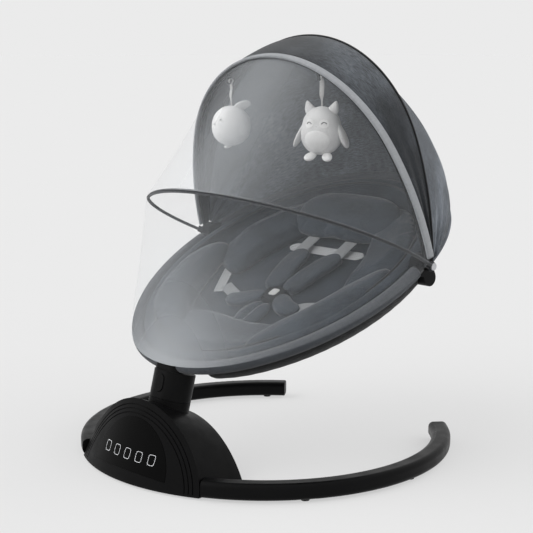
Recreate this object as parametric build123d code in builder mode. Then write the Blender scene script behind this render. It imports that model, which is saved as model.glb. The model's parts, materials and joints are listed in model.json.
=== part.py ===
from build123d import *

import os
from math import asin, atan2, cos, degrees, radians, sin, sqrt, tan

os.makedirs("parts", exist_ok=True)

# Baby swing: an oval sling seat with canopy and net, swaying on a leaning post over a floor ring.
# Millimetres, +Z up, -Y to the front (panel and feet end), +X to the right as seen from the front.

# Floor ring
RING_RADIUS = 285.0
LEG_WIDTH = 29.0
LEG_HEIGHT = 24.0
LEG_WALL = 3.0
LEG_EDGE = 8.0
LEG_END_ANGLE = 140.0
LEG_CAP_LENGTH = 4.0
LEG_CAP_PLUG = 20.0
COLLAR_LENGTH = 28.0
SPIGOT_WIDTH = 14.0
SPIGOT_HEIGHT = 13.0
SPIGOT_EDGE = 5.0
SPIGOT_INWARD = 34.0
SPIGOT_OUTWARD = 70.0
SPIGOT_HOLE_GAP = 1.0
FOOT_HEIGHT = 3.0
FOOT_RADIUS = 6.0
LEG_FOOT_ANGLES = (58.0, 96.0, 134.0)
HOUSING_FOOT_ANGLE = 11.0
SLIDE_GAP = 0.1

# Drive housing
HOUSING_HALF_WIDTH = 134.0
HOUSING_RISE = 122.0
HOUSING_FULLNESS = 0.74
HOUSING_LEAN = 21.0
HOUSING_DEPTH = 125.0
HOUSING_WALL = 4.0
HOUSING_SEAM_DEPTH = 14.0
GROOVE_COUNT = 3
GROOVE_FIRST = 8.0
GROOVE_PITCH = 6.0
GROOVE_WIDTH = 1.6
GROOVE_DEPTH = 1.4
PANEL_HALF_WIDTH = 79.0
PANEL_RISE = 75.0
PANEL_BASE = 21.0
PANEL_FULLNESS = 0.67
PANEL_THICKNESS = 2.5
PANEL_PROUD = 0.4
PANEL_GAP = 0.25
BOSS_RADIUS = 5.0
BOSS_HEIGHT = 22.0
BACK_BOSS_X = 72.0
FRONT_BOSS_ANGLE = 14.0
SCREW_RADIUS = 2.0
SCREW_HEAD_RADIUS = 3.6
SCREW_HEAD_HEIGHT = 2.0
SCREW_LENGTH = 12.0

# Swing bearing and drive
POST_LEAN = 15.0
POST_SETBACK = 66.0
POST_WIDTH = 66.0
POST_DEPTH = 50.0
POST_WALL = 4.0
POST_SEAM = 108.0
POST_RISE = 50.5
SEAM_GAP = 0.5
WEB_THICKNESS = 6.0
NECK_FLARE = 16.0
NECK_LOW = 50.0
NECK_STRAIGHT = 16.0
NECK_WEB = 10.0
SHAFT_RADIUS = 7.0
SHAFT_LOW = 20.0
SHAFT_TOP_REACH = 24.0
RUNNING_GAP = 0.05
BUSH_WALL = 3.0
LOWER_BUSH_TOP = 42.0
LOWER_BUSH_LENGTH = 18.0
CARRIER_RADIUS = 17.0
CARRIER_FOOT_WIDTH = 68.0
CARRIER_FOOT_LENGTH = 66.0
CARRIER_FOOT_THICKNESS = 5.0
COIL_RADIUS = 15.0
COIL_BORE = 4.0
COIL_LOW = 36.0
COIL_HEIGHT = 12.0
COIL_REACH = 34.0
MAGNET_RADIUS = 6.0
MAGNET_HEIGHT = 5.0
MAGNET_SPACING = 14.0
MAGNET_GAP = 7.0
ARM_THICKNESS = 8.0
ARM_WIDTH = 28.0
ARM_HUB_RADIUS = 15.0
BOARD_WIDTH = 56.0
BOARD_LENGTH = 40.0
BOARD_X = 78.0
BOARD_SETBACK = 80.0
BOARD_PILLAR_INSET = 8.0
BOARD_STANDOFF = 5.0
BOARD_THICKNESS = 1.6
SPEAKER_RADIUS = 22.0
SPEAKER_HEIGHT = 14.0
JACK_RADIUS = 6.0
JACK_X = 60.0
JACK_HEIGHT = 30.0

# Seat release
BUTTON_WIDTH = 16.0
BUTTON_HEIGHT = 26.0
BUTTON_PROUD = 1.2
BUTTON_TRAVEL = 4.0
BUTTON_FLANGE = 2.0
BUTTON_GAP = 0.3
RELEASE_SPRING_RADIUS = 4.0
RELEASE_SPRING_LENGTH = 6.5

# Seat frame
SEAT_SLOPE = 26.7
RIM_HALF_WIDTH = 234.0
RIM_FOOT = 314.0
RIM_HEAD = 214.0
RIM_WIDE = 45.0
RIM_FULLNESS = 0.855
RIM_TUBE_RADIUS = 8.0
RIM_TUBE_WALL = 1.5
RIM_JOINT_GAP = 18.0
SLEEVE_RADIUS = 9.5
SLEEVE_START = 36.0
SADDLE_WIDTH = 50.0
SADDLE_DEPTH = 24.0
SADDLE_AHEAD = 10.9
SADDLE_RISE = 12.0
SADDLE_ROOM = 2.0
SADDLE_FLANGE = 2.5
SADDLE_BOLT_X = 18.0
SADDLE_BOLT_RADIUS = 2.5
SADDLE_BOLT_LENGTH = 26.0
SADDLE_BOLT_HEAD = 3.0
HUB_RADIUS = 17.0
HUB_LOBE_RADIUS = 12.0
HUB_LOBE_DROP = 22.0
HUB_INNER = 10.5
HUB_OUTER = 8.5
PIN_RADIUS = 3.0
PIN_DEPTH = 12.0
PIN_HEAD_RADIUS = 5.5
PIN_HEAD = 2.3
EYE_THICKNESS = 3.4
EYE_RADIUS = 7.0
EYE_GAP = 0.5

# Seat fabric
BOWL_POWER = 2.5
BOWL_FLOOR = 0.92
BOWL_STEPS = 5
SLING_DEPTH = 48.0
SLING_THICKNESS = 3.0
SLING_INSET = 6.0
CLOTH_GAP = 0.4
PAD_EDGE_INSET = 13.0
PAD_EDGE_HEIGHT = 5.0
PAD_EDGE_WIDTH = 19.0
PAD_FLOOR_THICKNESS = 22.0
PAD_EDGE_ROUND = 6.0
PAD_CHANNEL_WIDTH = 3.0
PAD_CHANNEL_INSET = 30.0
PAD_CHANNEL_LEVEL = -24.0
BOLSTER_RADIUS = 24.0
BOLSTER_TIP = 10.0
BOLSTER_STEPS = 5
BOLSTER_HEIGHT = -3.0
BOLSTER_START_ANGLE = -12.0
BOLSTER_END_ANGLE = 62.0
BOLSTER_INSET = 58.0
PILLOW_HALF_WIDTH = 92.0
PILLOW_LENGTH = 84.0
PILLOW_THICKNESS = 34.0
PILLOW_AHEAD = 92.0
PILLOW_HEIGHT = -8.0
PILLOW_TILT = 20.0
PILLOW_FULLNESS = 0.8
PILLOW_SECTIONS = ((-0.5, 0.72), (-0.1, 1.0), (0.25, 0.92), (0.5, 0.6))

# Harness
STRAP_THICKNESS = 4.0
STRAP_WIDTH = 26.0
SHOULDER_TOP_X = 40.0
SHOULDER_TOP_Y = 44.0
SHOULDER_LOW_X = 21.0
SHOULDER_LOW_Y = -72.0
WAIST_WIDTH = 20.0
WAIST_REACH = 86.0
WAIST_THICKNESS = 2.0
BUCKLE_WIDTH = 42.0
BUCKLE_LENGTH = 34.0
BUCKLE_HEIGHT = 10.0
BUCKLE_Y = -94.0
BUCKLE_ROUND = 4.0
BUCKLE_BUTTON = 15.0
BUCKLE_BUTTON_HEIGHT = 4.0
BUCKLE_BUTTON_PROUD = 1.0
BUCKLE_BUTTON_TRAVEL = 2.0
CROTCH_WIDTH = 58.0
CROTCH_LENGTH = 50.0
CROTCH_HEIGHT = 8.0
ADJUSTER_WIDTH = 30.0
ADJUSTER_LENGTH = 12.0
ADJUSTER_HEIGHT = 3.0
HARNESS_GAP = 0.3

# Canopy
BOW_WIDTH = 10.0
FRONT_BOW_OPEN = 75.5
MID_BOW_OPEN = 90.0
FRONT_BOW_RISE = 304.0
MID_BOW_RISE = 322.0
BOW_FULLNESS = 0.93
CANOPY_THICKNESS = 2.5
CANOPY_GAP = 1.0
CANOPY_START = 30.0
CANOPY_FRONT_LAP = 1.0
CANOPY_SEAM_LAP = 0.3
CANOPY_BOW_LAP = 1.2
HOOD_END_OPEN = 155.0
HOOD_STEPS = 6
HOOD_HEAD_GAP = 6.0
HOOD_FALL = 0.6
HOOD_TURN_IN = 2.0

# Net hoop
HOOP_OPEN = 24.9
HOOP_HALF_WIDTH = 258.0
HOOP_REACH = 243.0
HOOP_WIDE = 50.0
HOOP_FULLNESS = 0.855
HOOP_RADIUS = 2.5
NET_THICKNESS = 1.0
NET_LAP = 0.3
NET_RIM_LIFT = 1.8
NET_RIM_GAP = 0.8

# Toys
OWL_X = 90.0
BIRD_X = -110.0
LUG_WIDTH = 4.0
LUG_DEPTH = 8.0
PEG_DROP = 9.0
PEG_RADIUS = 1.5
TOY_EYE_RADIUS = 4.5
TOY_EYE_WIDTH = 3.0
TOY_EYE_GAP = 0.4
TOY_RUNNING_GAP = 0.1
TOY_STRAP_WIDTH = 4.0
TOY_STRAP_DEPTH = 2.0
TOY_STRAP_LAP = 1.0
OWL_STRAP_LENGTH = 42.0
EGG_STEPS = 7
EGG_TIP_ANGLE = 14.0
OWL_TURN = 28.0
OWL_HEIGHT = 66.0
OWL_RADIUS = 26.0
OWL_BELLY = 0.55
OWL_EAR_HEIGHT = 20.0
OWL_EAR_RADIUS = 7.0
OWL_WING_LENGTH = 40.0
OWL_WING_RADIUS = 8.0
OWL_WING_PLACE = (0.86, 0.0, -0.3)
OWL_WING_SPLAY = 0.35
OWL_FOOT_LENGTH = 19.0
OWL_FOOT_RADIUS = 6.5
OWL_FOOT_PLACE = (0.42, 0.1, -1.0)
BIRD_STRAP_LENGTH = 38.0
BIRD_TURN = -10.0
BIRD_HEIGHT = 60.0
BIRD_RADIUS = 29.0
BIRD_BELLY = 0.52
BIRD_WING_LENGTH = 34.0
BIRD_WING_RADIUS = 8.0
BIRD_WING_PLACE = (0.45, 0.35, 0.05)
BIRD_WING_LEAN = 0.6

# Places worked out from the sizes above
LEG_MID_RADIUS = RING_RADIUS - LEG_WIDTH / 2
LEG_MID_Z = FOOT_HEIGHT + LEG_HEIGHT / 2
PLATE_TOP = FOOT_HEIGHT + LEG_WALL
SPIGOT_MID_RADIUS = RING_RADIUS - LEG_WIDTH + LEG_WALL + SLIDE_GAP + SPIGOT_WIDTH / 2
SPIGOT_MID_Z = PLATE_TOP + SLIDE_GAP + SPIGOT_HEIGHT / 2
POST_AHEAD = RING_RADIUS - POST_SETBACK
NECK_TURN = POST_SEAM - NECK_STRAIGHT
RIM_FOOT_LEVEL = POST_SEAM + POST_RISE
POST_TOP = RIM_FOOT_LEVEL - SADDLE_RISE
RIM_FOOT_FORWARD = POST_AHEAD + SADDLE_AHEAD * cos(radians(POST_LEAN))
RIM_FOOT_BEHIND = RIM_FOOT_LEVEL * sin(radians(POST_LEAN)) - RIM_FOOT_FORWARD
RIM_FOOT_HEIGHT = RIM_FOOT_LEVEL * cos(radians(POST_LEAN)) + SADDLE_AHEAD * sin(radians(POST_LEAN))
HINGE_BEHIND = RIM_FOOT_BEHIND + RIM_FOOT * cos(radians(SEAT_SLOPE))
HINGE_HEIGHT = RIM_FOOT_HEIGHT + RIM_FOOT * sin(radians(SEAT_SLOPE))
HEAD_REACH = RIM_HEAD + SLEEVE_RADIUS + HOOD_HEAD_GAP
RING_Y = (RING_RADIUS - HINGE_BEHIND - HEAD_REACH * cos(radians(SEAT_SLOPE))) / 2
RING_AXIS = Axis((0, RING_Y, 0), (0, 0, 1))
HOUSING_FRONT_Y = RING_Y - RING_RADIUS
HOUSING_BACK_Y = HOUSING_FRONT_Y + HOUSING_DEPTH
COLLAR_START_ANGLE = degrees(asin(HOUSING_HALF_WIDTH / RING_RADIUS)) + 0.3
LEG_START_ANGLE = COLLAR_START_ANGLE + degrees(COLLAR_LENGTH / LEG_MID_RADIUS)
SPIGOT_START_ANGLE = COLLAR_START_ANGLE - degrees(SPIGOT_INWARD / LEG_MID_RADIUS)
SPIGOT_END_ANGLE = COLLAR_START_ANGLE + degrees(SPIGOT_OUTWARD / LEG_MID_RADIUS)
PLATE_SCREW_ANGLE = (2 * SPIGOT_START_ANGLE + COLLAR_START_ANGLE) / 3
LEG_SCREW_ANGLE = (LEG_START_ANGLE + SPIGOT_END_ANGLE) / 2
HINGE_Y = RING_Y + HINGE_BEHIND
BUTTON_FLANGE_BACK = POST_WALL + BUTTON_GAP + BUTTON_FLANGE
POCKET_DEPTH = BUTTON_FLANGE_BACK + RELEASE_SPRING_LENGTH

FACE_PLANE = Plane(
    origin=(0, HOUSING_FRONT_Y, 0),
    x_dir=(1, 0, 0),
    z_dir=(0, -cos(radians(HOUSING_LEAN)), sin(radians(HOUSING_LEAN))),
)
POST_PLANE = Plane(
    origin=(0, RING_Y - POST_AHEAD, 0),
    x_dir=(1, 0, 0),
    z_dir=(0, sin(radians(POST_LEAN)), cos(radians(POST_LEAN))),
)
SEAT_PLANE = Plane(
    origin=(0, HINGE_Y, HINGE_HEIGHT),
    x_dir=(1, 0, 0),
    z_dir=(0, -sin(radians(SEAT_SLOPE)), cos(radians(SEAT_SLOPE))),
)
WEB_TOP = POST_SEAM + SEAM_GAP + WEB_THICKNESS
BUTTON_PLANE = Plane(
    origin=POST_PLANE.from_local_coords((0, -POST_DEPTH / 2, (WEB_TOP + POST_TOP) / 2)),
    x_dir=(1, 0, 0),
    z_dir=-POST_PLANE.y_dir,
)


def ring_plane(angle):
    """Upright plane through the ring's axis, turned from the front towards the right."""
    turn = radians(angle - 90)
    return Plane(
        origin=(0, RING_Y, 0), x_dir=(cos(turn), sin(turn), 0), z_dir=(sin(turn), -cos(turn), 0)
    )


def ring_point(angle, radius, height=0.0):
    """Point at an angle from the front and a distance from the ring's axis."""
    turn = radians(angle - 90)
    return (radius * cos(turn), RING_Y + radius * sin(turn), height)


def bow_plane(opening):
    """Plane through the canopy's pivot line, raised by an opening from the front horizon."""
    turn = radians(opening)
    return Plane(
        origin=(0, HINGE_Y, HINGE_HEIGHT), x_dir=(1, 0, 0), z_dir=(0, -sin(turn), -cos(turn))
    )


def arch_points(half_width, rise, fullness, wide=0.0, start=0.0):
    """Start, middle and join of an arch's right side arc, then its crown, all arcs tangent."""
    height = rise - wide
    tight = fullness * min(half_width, height)
    if height > half_width:
        top = tight
        side = (half_width**2 + height**2 - 2 * height * tight) / (2 * (half_width - tight))
    else:
        side = tight
        top = (half_width**2 + height**2 - 2 * half_width * tight) / (2 * (height - tight))
    centre_x = half_width - side
    join = atan2(abs(height - top), abs(centre_x))
    begin = asin((start - wide) / side)
    turns = (begin, (begin + join) / 2, join)
    points = [(centre_x + side * cos(turn), wide + side * sin(turn)) for turn in turns]
    return points + [(0, rise)]


def arch_height(half_width, rise, fullness, x):
    """Height of an arch's crown arc over a place x across it."""
    join, crown = arch_points(half_width, rise, fullness)[2:]
    fall = crown[1] - join[1]
    top = (join[0] ** 2 + fall**2) / (2 * fall)
    return rise - top + sqrt(top**2 - x**2)


def draw_arch(points, lift=0.0, flip=1):
    """Three arcs through an arch's points, moved up by a lift or turned upside down."""
    right = [(x, lift + flip * y) for x, y in points]
    left = [(-x, y) for x, y in right]
    ThreePointArc(right[0], right[1], right[2])
    ThreePointArc(right[2], right[3], left[2])
    ThreePointArc(left[2], left[1], left[0])


def draw_oval(half_width, front, back, fullness, lift):
    """Closed oval of six arcs, widest at the lift."""
    draw_arch(arch_points(half_width, back, fullness), lift)
    draw_arch(arch_points(half_width, front, fullness), lift, -1)


def draw_band(inner, outer):
    """Closed band between two arches that start at the same level."""
    draw_arch(inner)
    draw_arch(outer)
    Line(inner[0], outer[0])
    Line((-inner[0][0], inner[0][1]), (-outer[0][0], outer[0][1]))


def egg(plane, length, radius, belly=0.5):
    """Plump body that swells and tapers, hanging down from a plane's origin."""
    with BuildPart() as body:
        for step in range(EGG_STEPS):
            turn = radians(EGG_TIP_ANGLE + (180 - 2 * EGG_TIP_ANGLE) * step / (EGG_STEPS - 1))
            half = belly if turn < radians(90) else 1 - belly
            with BuildSketch(plane.offset(-length * (belly - half * cos(turn)))):
                Circle(radius * sin(turn))
        loft()
    return body.part


def screw_places(angles_and_radii):
    """Places of the upright screws, on both sides of the ring."""
    right = [ring_point(angle, radius) for angle, radius in angles_and_radii]
    return right + [(-x, y, z) for x, y, z in right]


PLATE_SCREWS = screw_places([(PLATE_SCREW_ANGLE, SPIGOT_MID_RADIUS)])
LEG_SCREWS = screw_places([(LEG_SCREW_ANGLE, SPIGOT_MID_RADIUS)])
FRONT_BOSS_PLACES = screw_places([(FRONT_BOSS_ANGLE, RING_RADIUS - HOUSING_SEAM_DEPTH)])
BACK_BOSS_Y = HOUSING_BACK_Y - HOUSING_WALL - BOSS_RADIUS / 2
BACK_BOSS_PLACES = [(BACK_BOSS_X, BACK_BOSS_Y, 0), (-BACK_BOSS_X, BACK_BOSS_Y, 0)]


def screw_holes(places, low, length):
    """Round holes for the upright screws."""
    with Locations(*[(x, y, low) for x, y, z in places]):
        Cylinder(
            SCREW_RADIUS + RUNNING_GAP,
            length,
            align=(Align.CENTER, Align.CENTER, Align.MIN),
            mode=Mode.SUBTRACT,
        )


def face_cone(inset, low, high):
    """Round body whose side leans back like the housing's face, drawn in by an inset."""
    slant = tan(radians(HOUSING_LEAN))
    with BuildPart() as cone:
        with BuildSketch(ring_plane(0)):
            Polygon(
                (0, low),
                (RING_RADIUS - inset - low * slant, low),
                (RING_RADIUS - inset - high * slant, high),
                (0, high),
                align=None,
            )
        revolve(axis=RING_AXIS)
    return cone.part


def arched_block(half_width, rise, fullness, base, skirt):
    """Arched bar that runs back square to the leaning face, from ahead of it."""
    with BuildPart() as bar:
        with BuildSketch(FACE_PLANE.offset(HOUSING_WALL)):
            with BuildLine():
                points = arch_points(half_width, rise, fullness)
                draw_arch(points, base)
                start = (half_width, base)
                end = (-half_width, base)
                Polyline(start, (half_width, base - skirt), (-half_width, base - skirt), end)
            make_face()
        extrude(amount=-2 * HOUSING_DEPTH)
    return bar.part


def housing_block(inset, low, high):
    """The housing's outer form between two levels, drawn in by an inset."""
    with BuildPart() as block:
        add(
            arched_block(
                HOUSING_HALF_WIDTH - inset, HOUSING_RISE - inset, HOUSING_FULLNESS, 0, HOUSING_DEPTH
            )
        )
        add(face_cone(inset, low, high), mode=Mode.INTERSECT)
        back = Plane(origin=(0, HOUSING_BACK_Y - inset, 0), z_dir=(0, -1, 0))
        split(bisect_by=back, keep=Keep.TOP)
    return block.part


def ring_sector(width, height, edge, radius, level, start, end):
    """Rounded bar bent along the ring between two angles on the right side."""
    with BuildPart() as bar:
        with BuildSketch(ring_plane(start)):
            with Locations((radius, level)):
                RectangleRounded(width, height, edge)
        revolve(axis=RING_AXIS, revolution_arc=end - start)
    return bar.part


def spigot_bar(gap):
    """Right spigot that joins the leg to the housing, grown by a gap."""
    return ring_sector(
        SPIGOT_WIDTH + 2 * gap,
        SPIGOT_HEIGHT + 2 * gap,
        SPIGOT_EDGE + gap,
        SPIGOT_MID_RADIUS,
        SPIGOT_MID_Z,
        SPIGOT_START_ANGLE,
        SPIGOT_END_ANGLE,
    )


def both_sides(part):
    """Adds a right-hand piece and its mirror image on the left."""
    add(part)
    mirror(part, about=Plane.YZ)


def obround_bar(width, depth, low, high):
    """Obround bar along the post's axis between two levels."""
    with BuildPart() as bar:
        with BuildSketch(POST_PLANE.offset(low)):
            SlotOverall(width, depth)
        extrude(amount=high - low)
    return bar.part


def shaft_bar(radius, low, high):
    """Round bar along the post's axis between two levels."""
    with BuildPart() as bar:
        with BuildSketch(POST_PLANE.offset(low)):
            Circle(radius)
        extrude(amount=high - low)
    return bar.part


def save(piece, name):
    """Labels a finished piece and writes it."""
    piece.part.label = name
    export_step(piece.part, f"parts/{name}.step")


# Legs, their end plugs, collars and spigots
with BuildPart() as right_leg:
    add(
        ring_sector(
            LEG_WIDTH, LEG_HEIGHT, LEG_EDGE, LEG_MID_RADIUS, LEG_MID_Z, LEG_START_ANGLE, LEG_END_ANGLE
        )
    )
    bore_width = LEG_WIDTH - 2 * LEG_WALL
    bore_height = LEG_HEIGHT - 2 * LEG_WALL
    bore_edge = LEG_EDGE - LEG_WALL
    add(
        ring_sector(
            bore_width, bore_height, bore_edge, LEG_MID_RADIUS, LEG_MID_Z, LEG_START_ANGLE, LEG_END_ANGLE
        ),
        mode=Mode.SUBTRACT,
    )
    screw_holes(LEG_SCREWS, 0, PLATE_TOP)
save(right_leg, "right_leg")

with BuildPart() as left_leg:
    mirror(right_leg.part, about=Plane.YZ)
save(left_leg, "left_leg")

cap_end_angle = LEG_END_ANGLE + degrees(LEG_CAP_LENGTH / LEG_MID_RADIUS)
cap_plug_angle = LEG_END_ANGLE - degrees(LEG_CAP_PLUG / LEG_MID_RADIUS)
with BuildPart() as right_cap:
    add(
        ring_sector(
            LEG_WIDTH, LEG_HEIGHT, LEG_EDGE, LEG_MID_RADIUS, LEG_MID_Z, LEG_END_ANGLE, cap_end_angle
        )
    )
    outer_face = right_cap.faces().filter_by(GeomType.PLANE).sort_by(Axis.X)[0]
    fillet(outer_face.edges(), LEG_CAP_LENGTH / 2)
    add(
        ring_sector(
            bore_width - 2 * SLIDE_GAP,
            bore_height - 2 * SLIDE_GAP,
            bore_edge - SLIDE_GAP,
            LEG_MID_RADIUS,
            LEG_MID_Z,
            cap_plug_angle,
            LEG_END_ANGLE,
        )
    )
with BuildPart() as leg_caps:
    both_sides(right_cap.part)
save(leg_caps, "leg_caps")

with BuildPart() as right_collar:
    add(
        ring_sector(
            LEG_WIDTH, LEG_HEIGHT, LEG_EDGE, LEG_MID_RADIUS, LEG_MID_Z, COLLAR_START_ANGLE, LEG_START_ANGLE
        )
    )
    add(housing_block(0, 0, HOUSING_RISE), mode=Mode.SUBTRACT)
    add(spigot_bar(SLIDE_GAP), mode=Mode.SUBTRACT)
with BuildPart() as leg_collars:
    both_sides(right_collar.part)
save(leg_collars, "leg_collars")

with BuildPart() as leg_spigots:
    both_sides(spigot_bar(0))
    screw_holes(PLATE_SCREWS + LEG_SCREWS, 0, FOOT_HEIGHT + SCREW_LENGTH)
save(leg_spigots, "leg_spigots")

foot_places = [ring_point(angle, LEG_MID_RADIUS) for angle in LEG_FOOT_ANGLES]
foot_places.append(ring_point(HOUSING_FOOT_ANGLE, LEG_MID_RADIUS))
with BuildPart() as rubber_feet:
    with Locations(*foot_places, *[(-x, y, z) for x, y, z in foot_places]):
        Cylinder(FOOT_RADIUS, FOOT_HEIGHT, align=(Align.CENTER, Align.CENTER, Align.MIN))
save(rubber_feet, "rubber_feet")

# Floor plate and its screws
with BuildPart() as base_plate:
    add(housing_block(0, FOOT_HEIGHT, PLATE_TOP))
    screw_holes(PLATE_SCREWS + FRONT_BOSS_PLACES + BACK_BOSS_PLACES, 0, 2 * PLATE_TOP)
save(base_plate, "base_plate")

with BuildPart() as base_screws:
    screws = PLATE_SCREWS + LEG_SCREWS + FRONT_BOSS_PLACES + BACK_BOSS_PLACES
    with Locations(*[(x, y, FOOT_HEIGHT) for x, y, z in screws]):
        Cylinder(SCREW_RADIUS, SCREW_LENGTH, align=(Align.CENTER, Align.CENTER, Align.MIN))
        Cylinder(
            SCREW_HEAD_RADIUS, SCREW_HEAD_HEIGHT, align=(Align.CENTER, Align.CENTER, Align.MAX)
        )
save(base_screws, "base_screws")

# Housing shells, split behind the face, with the fixed neck on the rear one
neck_bore_width = POST_WIDTH - 2 * HOUSING_WALL
neck_bore_depth = POST_DEPTH - 2 * HOUSING_WALL
with BuildPart() as housing_shell:
    with BuildSketch(POST_PLANE.offset(NECK_LOW)):
        SlotOverall(POST_WIDTH + NECK_FLARE, POST_DEPTH + NECK_FLARE)
    with BuildSketch(POST_PLANE.offset(NECK_TURN)):
        SlotOverall(POST_WIDTH, POST_DEPTH)
    loft()
    add(obround_bar(POST_WIDTH, POST_DEPTH, NECK_TURN, POST_SEAM))
    add(housing_block(0, PLATE_TOP, HOUSING_RISE))
    add(housing_block(HOUSING_WALL, 0, HOUSING_RISE), mode=Mode.SUBTRACT)
    add(
        obround_bar(neck_bore_width, neck_bore_depth, NECK_LOW, POST_SEAM - NECK_WEB),
        mode=Mode.SUBTRACT,
    )
    add(
        shaft_bar(SHAFT_RADIUS + RUNNING_GAP + BUSH_WALL, POST_SEAM - NECK_WEB, POST_SEAM),
        mode=Mode.SUBTRACT,
    )
    spigot_hole = spigot_bar(SPIGOT_HOLE_GAP)
    add(spigot_hole, mode=Mode.SUBTRACT)
    mirror(spigot_hole, about=Plane.YZ, mode=Mode.SUBTRACT)

with BuildPart() as panel_pocket:
    add(
        arched_block(
            PANEL_HALF_WIDTH + PANEL_GAP, PANEL_RISE + PANEL_GAP, PANEL_FULLNESS, PANEL_BASE, PANEL_GAP
        )
    )
    add(face_cone(PANEL_THICKNESS, 0, HOUSING_RISE), mode=Mode.SUBTRACT)
    split(bisect_by=Plane(origin=(0, RING_Y, 0), z_dir=(0, -1, 0)), keep=Keep.TOP)

with BuildPart() as front_housing:
    add(housing_shell.part)
    add(face_cone(HOUSING_SEAM_DEPTH, 0, HOUSING_RISE), mode=Mode.SUBTRACT)
    with Locations(*[(x, y, PLATE_TOP) for x, y, z in FRONT_BOSS_PLACES]):
        Cylinder(BOSS_RADIUS, BOSS_HEIGHT, align=(Align.CENTER, Align.CENTER, Align.MIN))
    screw_holes(FRONT_BOSS_PLACES, 0, FOOT_HEIGHT + SCREW_LENGTH)
    add(panel_pocket.part, mode=Mode.SUBTRACT)
    for number in range(GROOVE_COUNT):
        inset = GROOVE_FIRST + number * GROOVE_PITCH
        with BuildPart(mode=Mode.PRIVATE) as groove:
            add(
                arched_block(
                    HOUSING_HALF_WIDTH - inset, HOUSING_RISE - inset, HOUSING_FULLNESS, 0, HOUSING_DEPTH
                )
            )
            inset = inset + GROOVE_WIDTH
            add(
                arched_block(
                    HOUSING_HALF_WIDTH - inset, HOUSING_RISE - inset, HOUSING_FULLNESS, 0, HOUSING_DEPTH
                ),
                mode=Mode.SUBTRACT,
            )
            add(face_cone(GROOVE_DEPTH, -HOUSING_DEPTH, HOUSING_RISE), mode=Mode.SUBTRACT)
            split(bisect_by=Plane(origin=(0, RING_Y, 0), z_dir=(0, -1, 0)), keep=Keep.TOP)
        add(groove.part, mode=Mode.SUBTRACT)
save(front_housing, "front_housing")

jack_plane = Plane(origin=(JACK_X, HOUSING_BACK_Y, JACK_HEIGHT), z_dir=(0, 1, 0))
with BuildPart() as rear_housing:
    add(housing_shell.part)
    add(face_cone(HOUSING_SEAM_DEPTH, 0, 2 * HOUSING_RISE), mode=Mode.INTERSECT)
    with Locations(*[(x, y, PLATE_TOP) for x, y, z in BACK_BOSS_PLACES]):
        Cylinder(BOSS_RADIUS, BOSS_HEIGHT, align=(Align.CENTER, Align.CENTER, Align.MIN))
    screw_holes(BACK_BOSS_PLACES, 0, FOOT_HEIGHT + SCREW_LENGTH)
    with BuildSketch(jack_plane):
        Circle(JACK_RADIUS + RUNNING_GAP)
    extrude(amount=-2 * HOUSING_WALL, mode=Mode.SUBTRACT)
save(rear_housing, "rear_housing")

with BuildPart() as control_panel:
    add(arched_block(PANEL_HALF_WIDTH, PANEL_RISE, PANEL_FULLNESS, PANEL_BASE, 0.01))
    add(face_cone(-PANEL_PROUD, 0, HOUSING_RISE), mode=Mode.INTERSECT)
    add(face_cone(PANEL_THICKNESS, 0, HOUSING_RISE), mode=Mode.SUBTRACT)
    split(bisect_by=Plane(origin=(0, RING_Y, 0), z_dir=(0, -1, 0)), keep=Keep.TOP)
save(control_panel, "control_panel")

# Electronics on the floor plate
board_y = HOUSING_FRONT_Y + BOARD_SETBACK
with BuildPart() as main_board:
    with Locations((BOARD_X, board_y, PLATE_TOP)):
        with GridLocations(BOARD_WIDTH - BOARD_PILLAR_INSET, BOARD_LENGTH - BOARD_PILLAR_INSET, 2, 2):
            Cylinder(3, 5, align=(Align.CENTER, Align.CENTER, Align.MIN))
    with Locations((BOARD_X, board_y, PLATE_TOP + BOARD_STANDOFF)):
        Box(BOARD_WIDTH, BOARD_LENGTH, BOARD_THICKNESS, align=(Align.CENTER, Align.CENTER, Align.MIN))
        with GridLocations(BOARD_WIDTH / 3, BOARD_LENGTH / 3, 2, 2):
            Box(12, 9, 5, align=(Align.CENTER, Align.CENTER, Align.MIN))
save(main_board, "main_board")

with BuildPart() as speaker:
    with Locations((-BOARD_X, board_y, PLATE_TOP)):
        Cylinder(SPEAKER_RADIUS, 3, align=(Align.CENTER, Align.CENTER, Align.MIN))
        Cone(
            0.85 * SPEAKER_RADIUS,
            0.5 * SPEAKER_RADIUS,
            SPEAKER_HEIGHT,
            align=(Align.CENTER, Align.CENTER, Align.MIN),
        )
save(speaker, "speaker")

with BuildPart() as power_jack:
    with BuildSketch(jack_plane):
        Circle(JACK_RADIUS)
        Circle(JACK_RADIUS / 2, mode=Mode.SUBTRACT)
    extrude(amount=-HOUSING_WALL)
    with BuildSketch(jack_plane.offset(-HOUSING_WALL)):
        Rectangle(2.4 * JACK_RADIUS, 2 * JACK_RADIUS + 2)
    extrude(amount=-2 * JACK_RADIUS)
save(power_jack, "power_jack")

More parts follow.
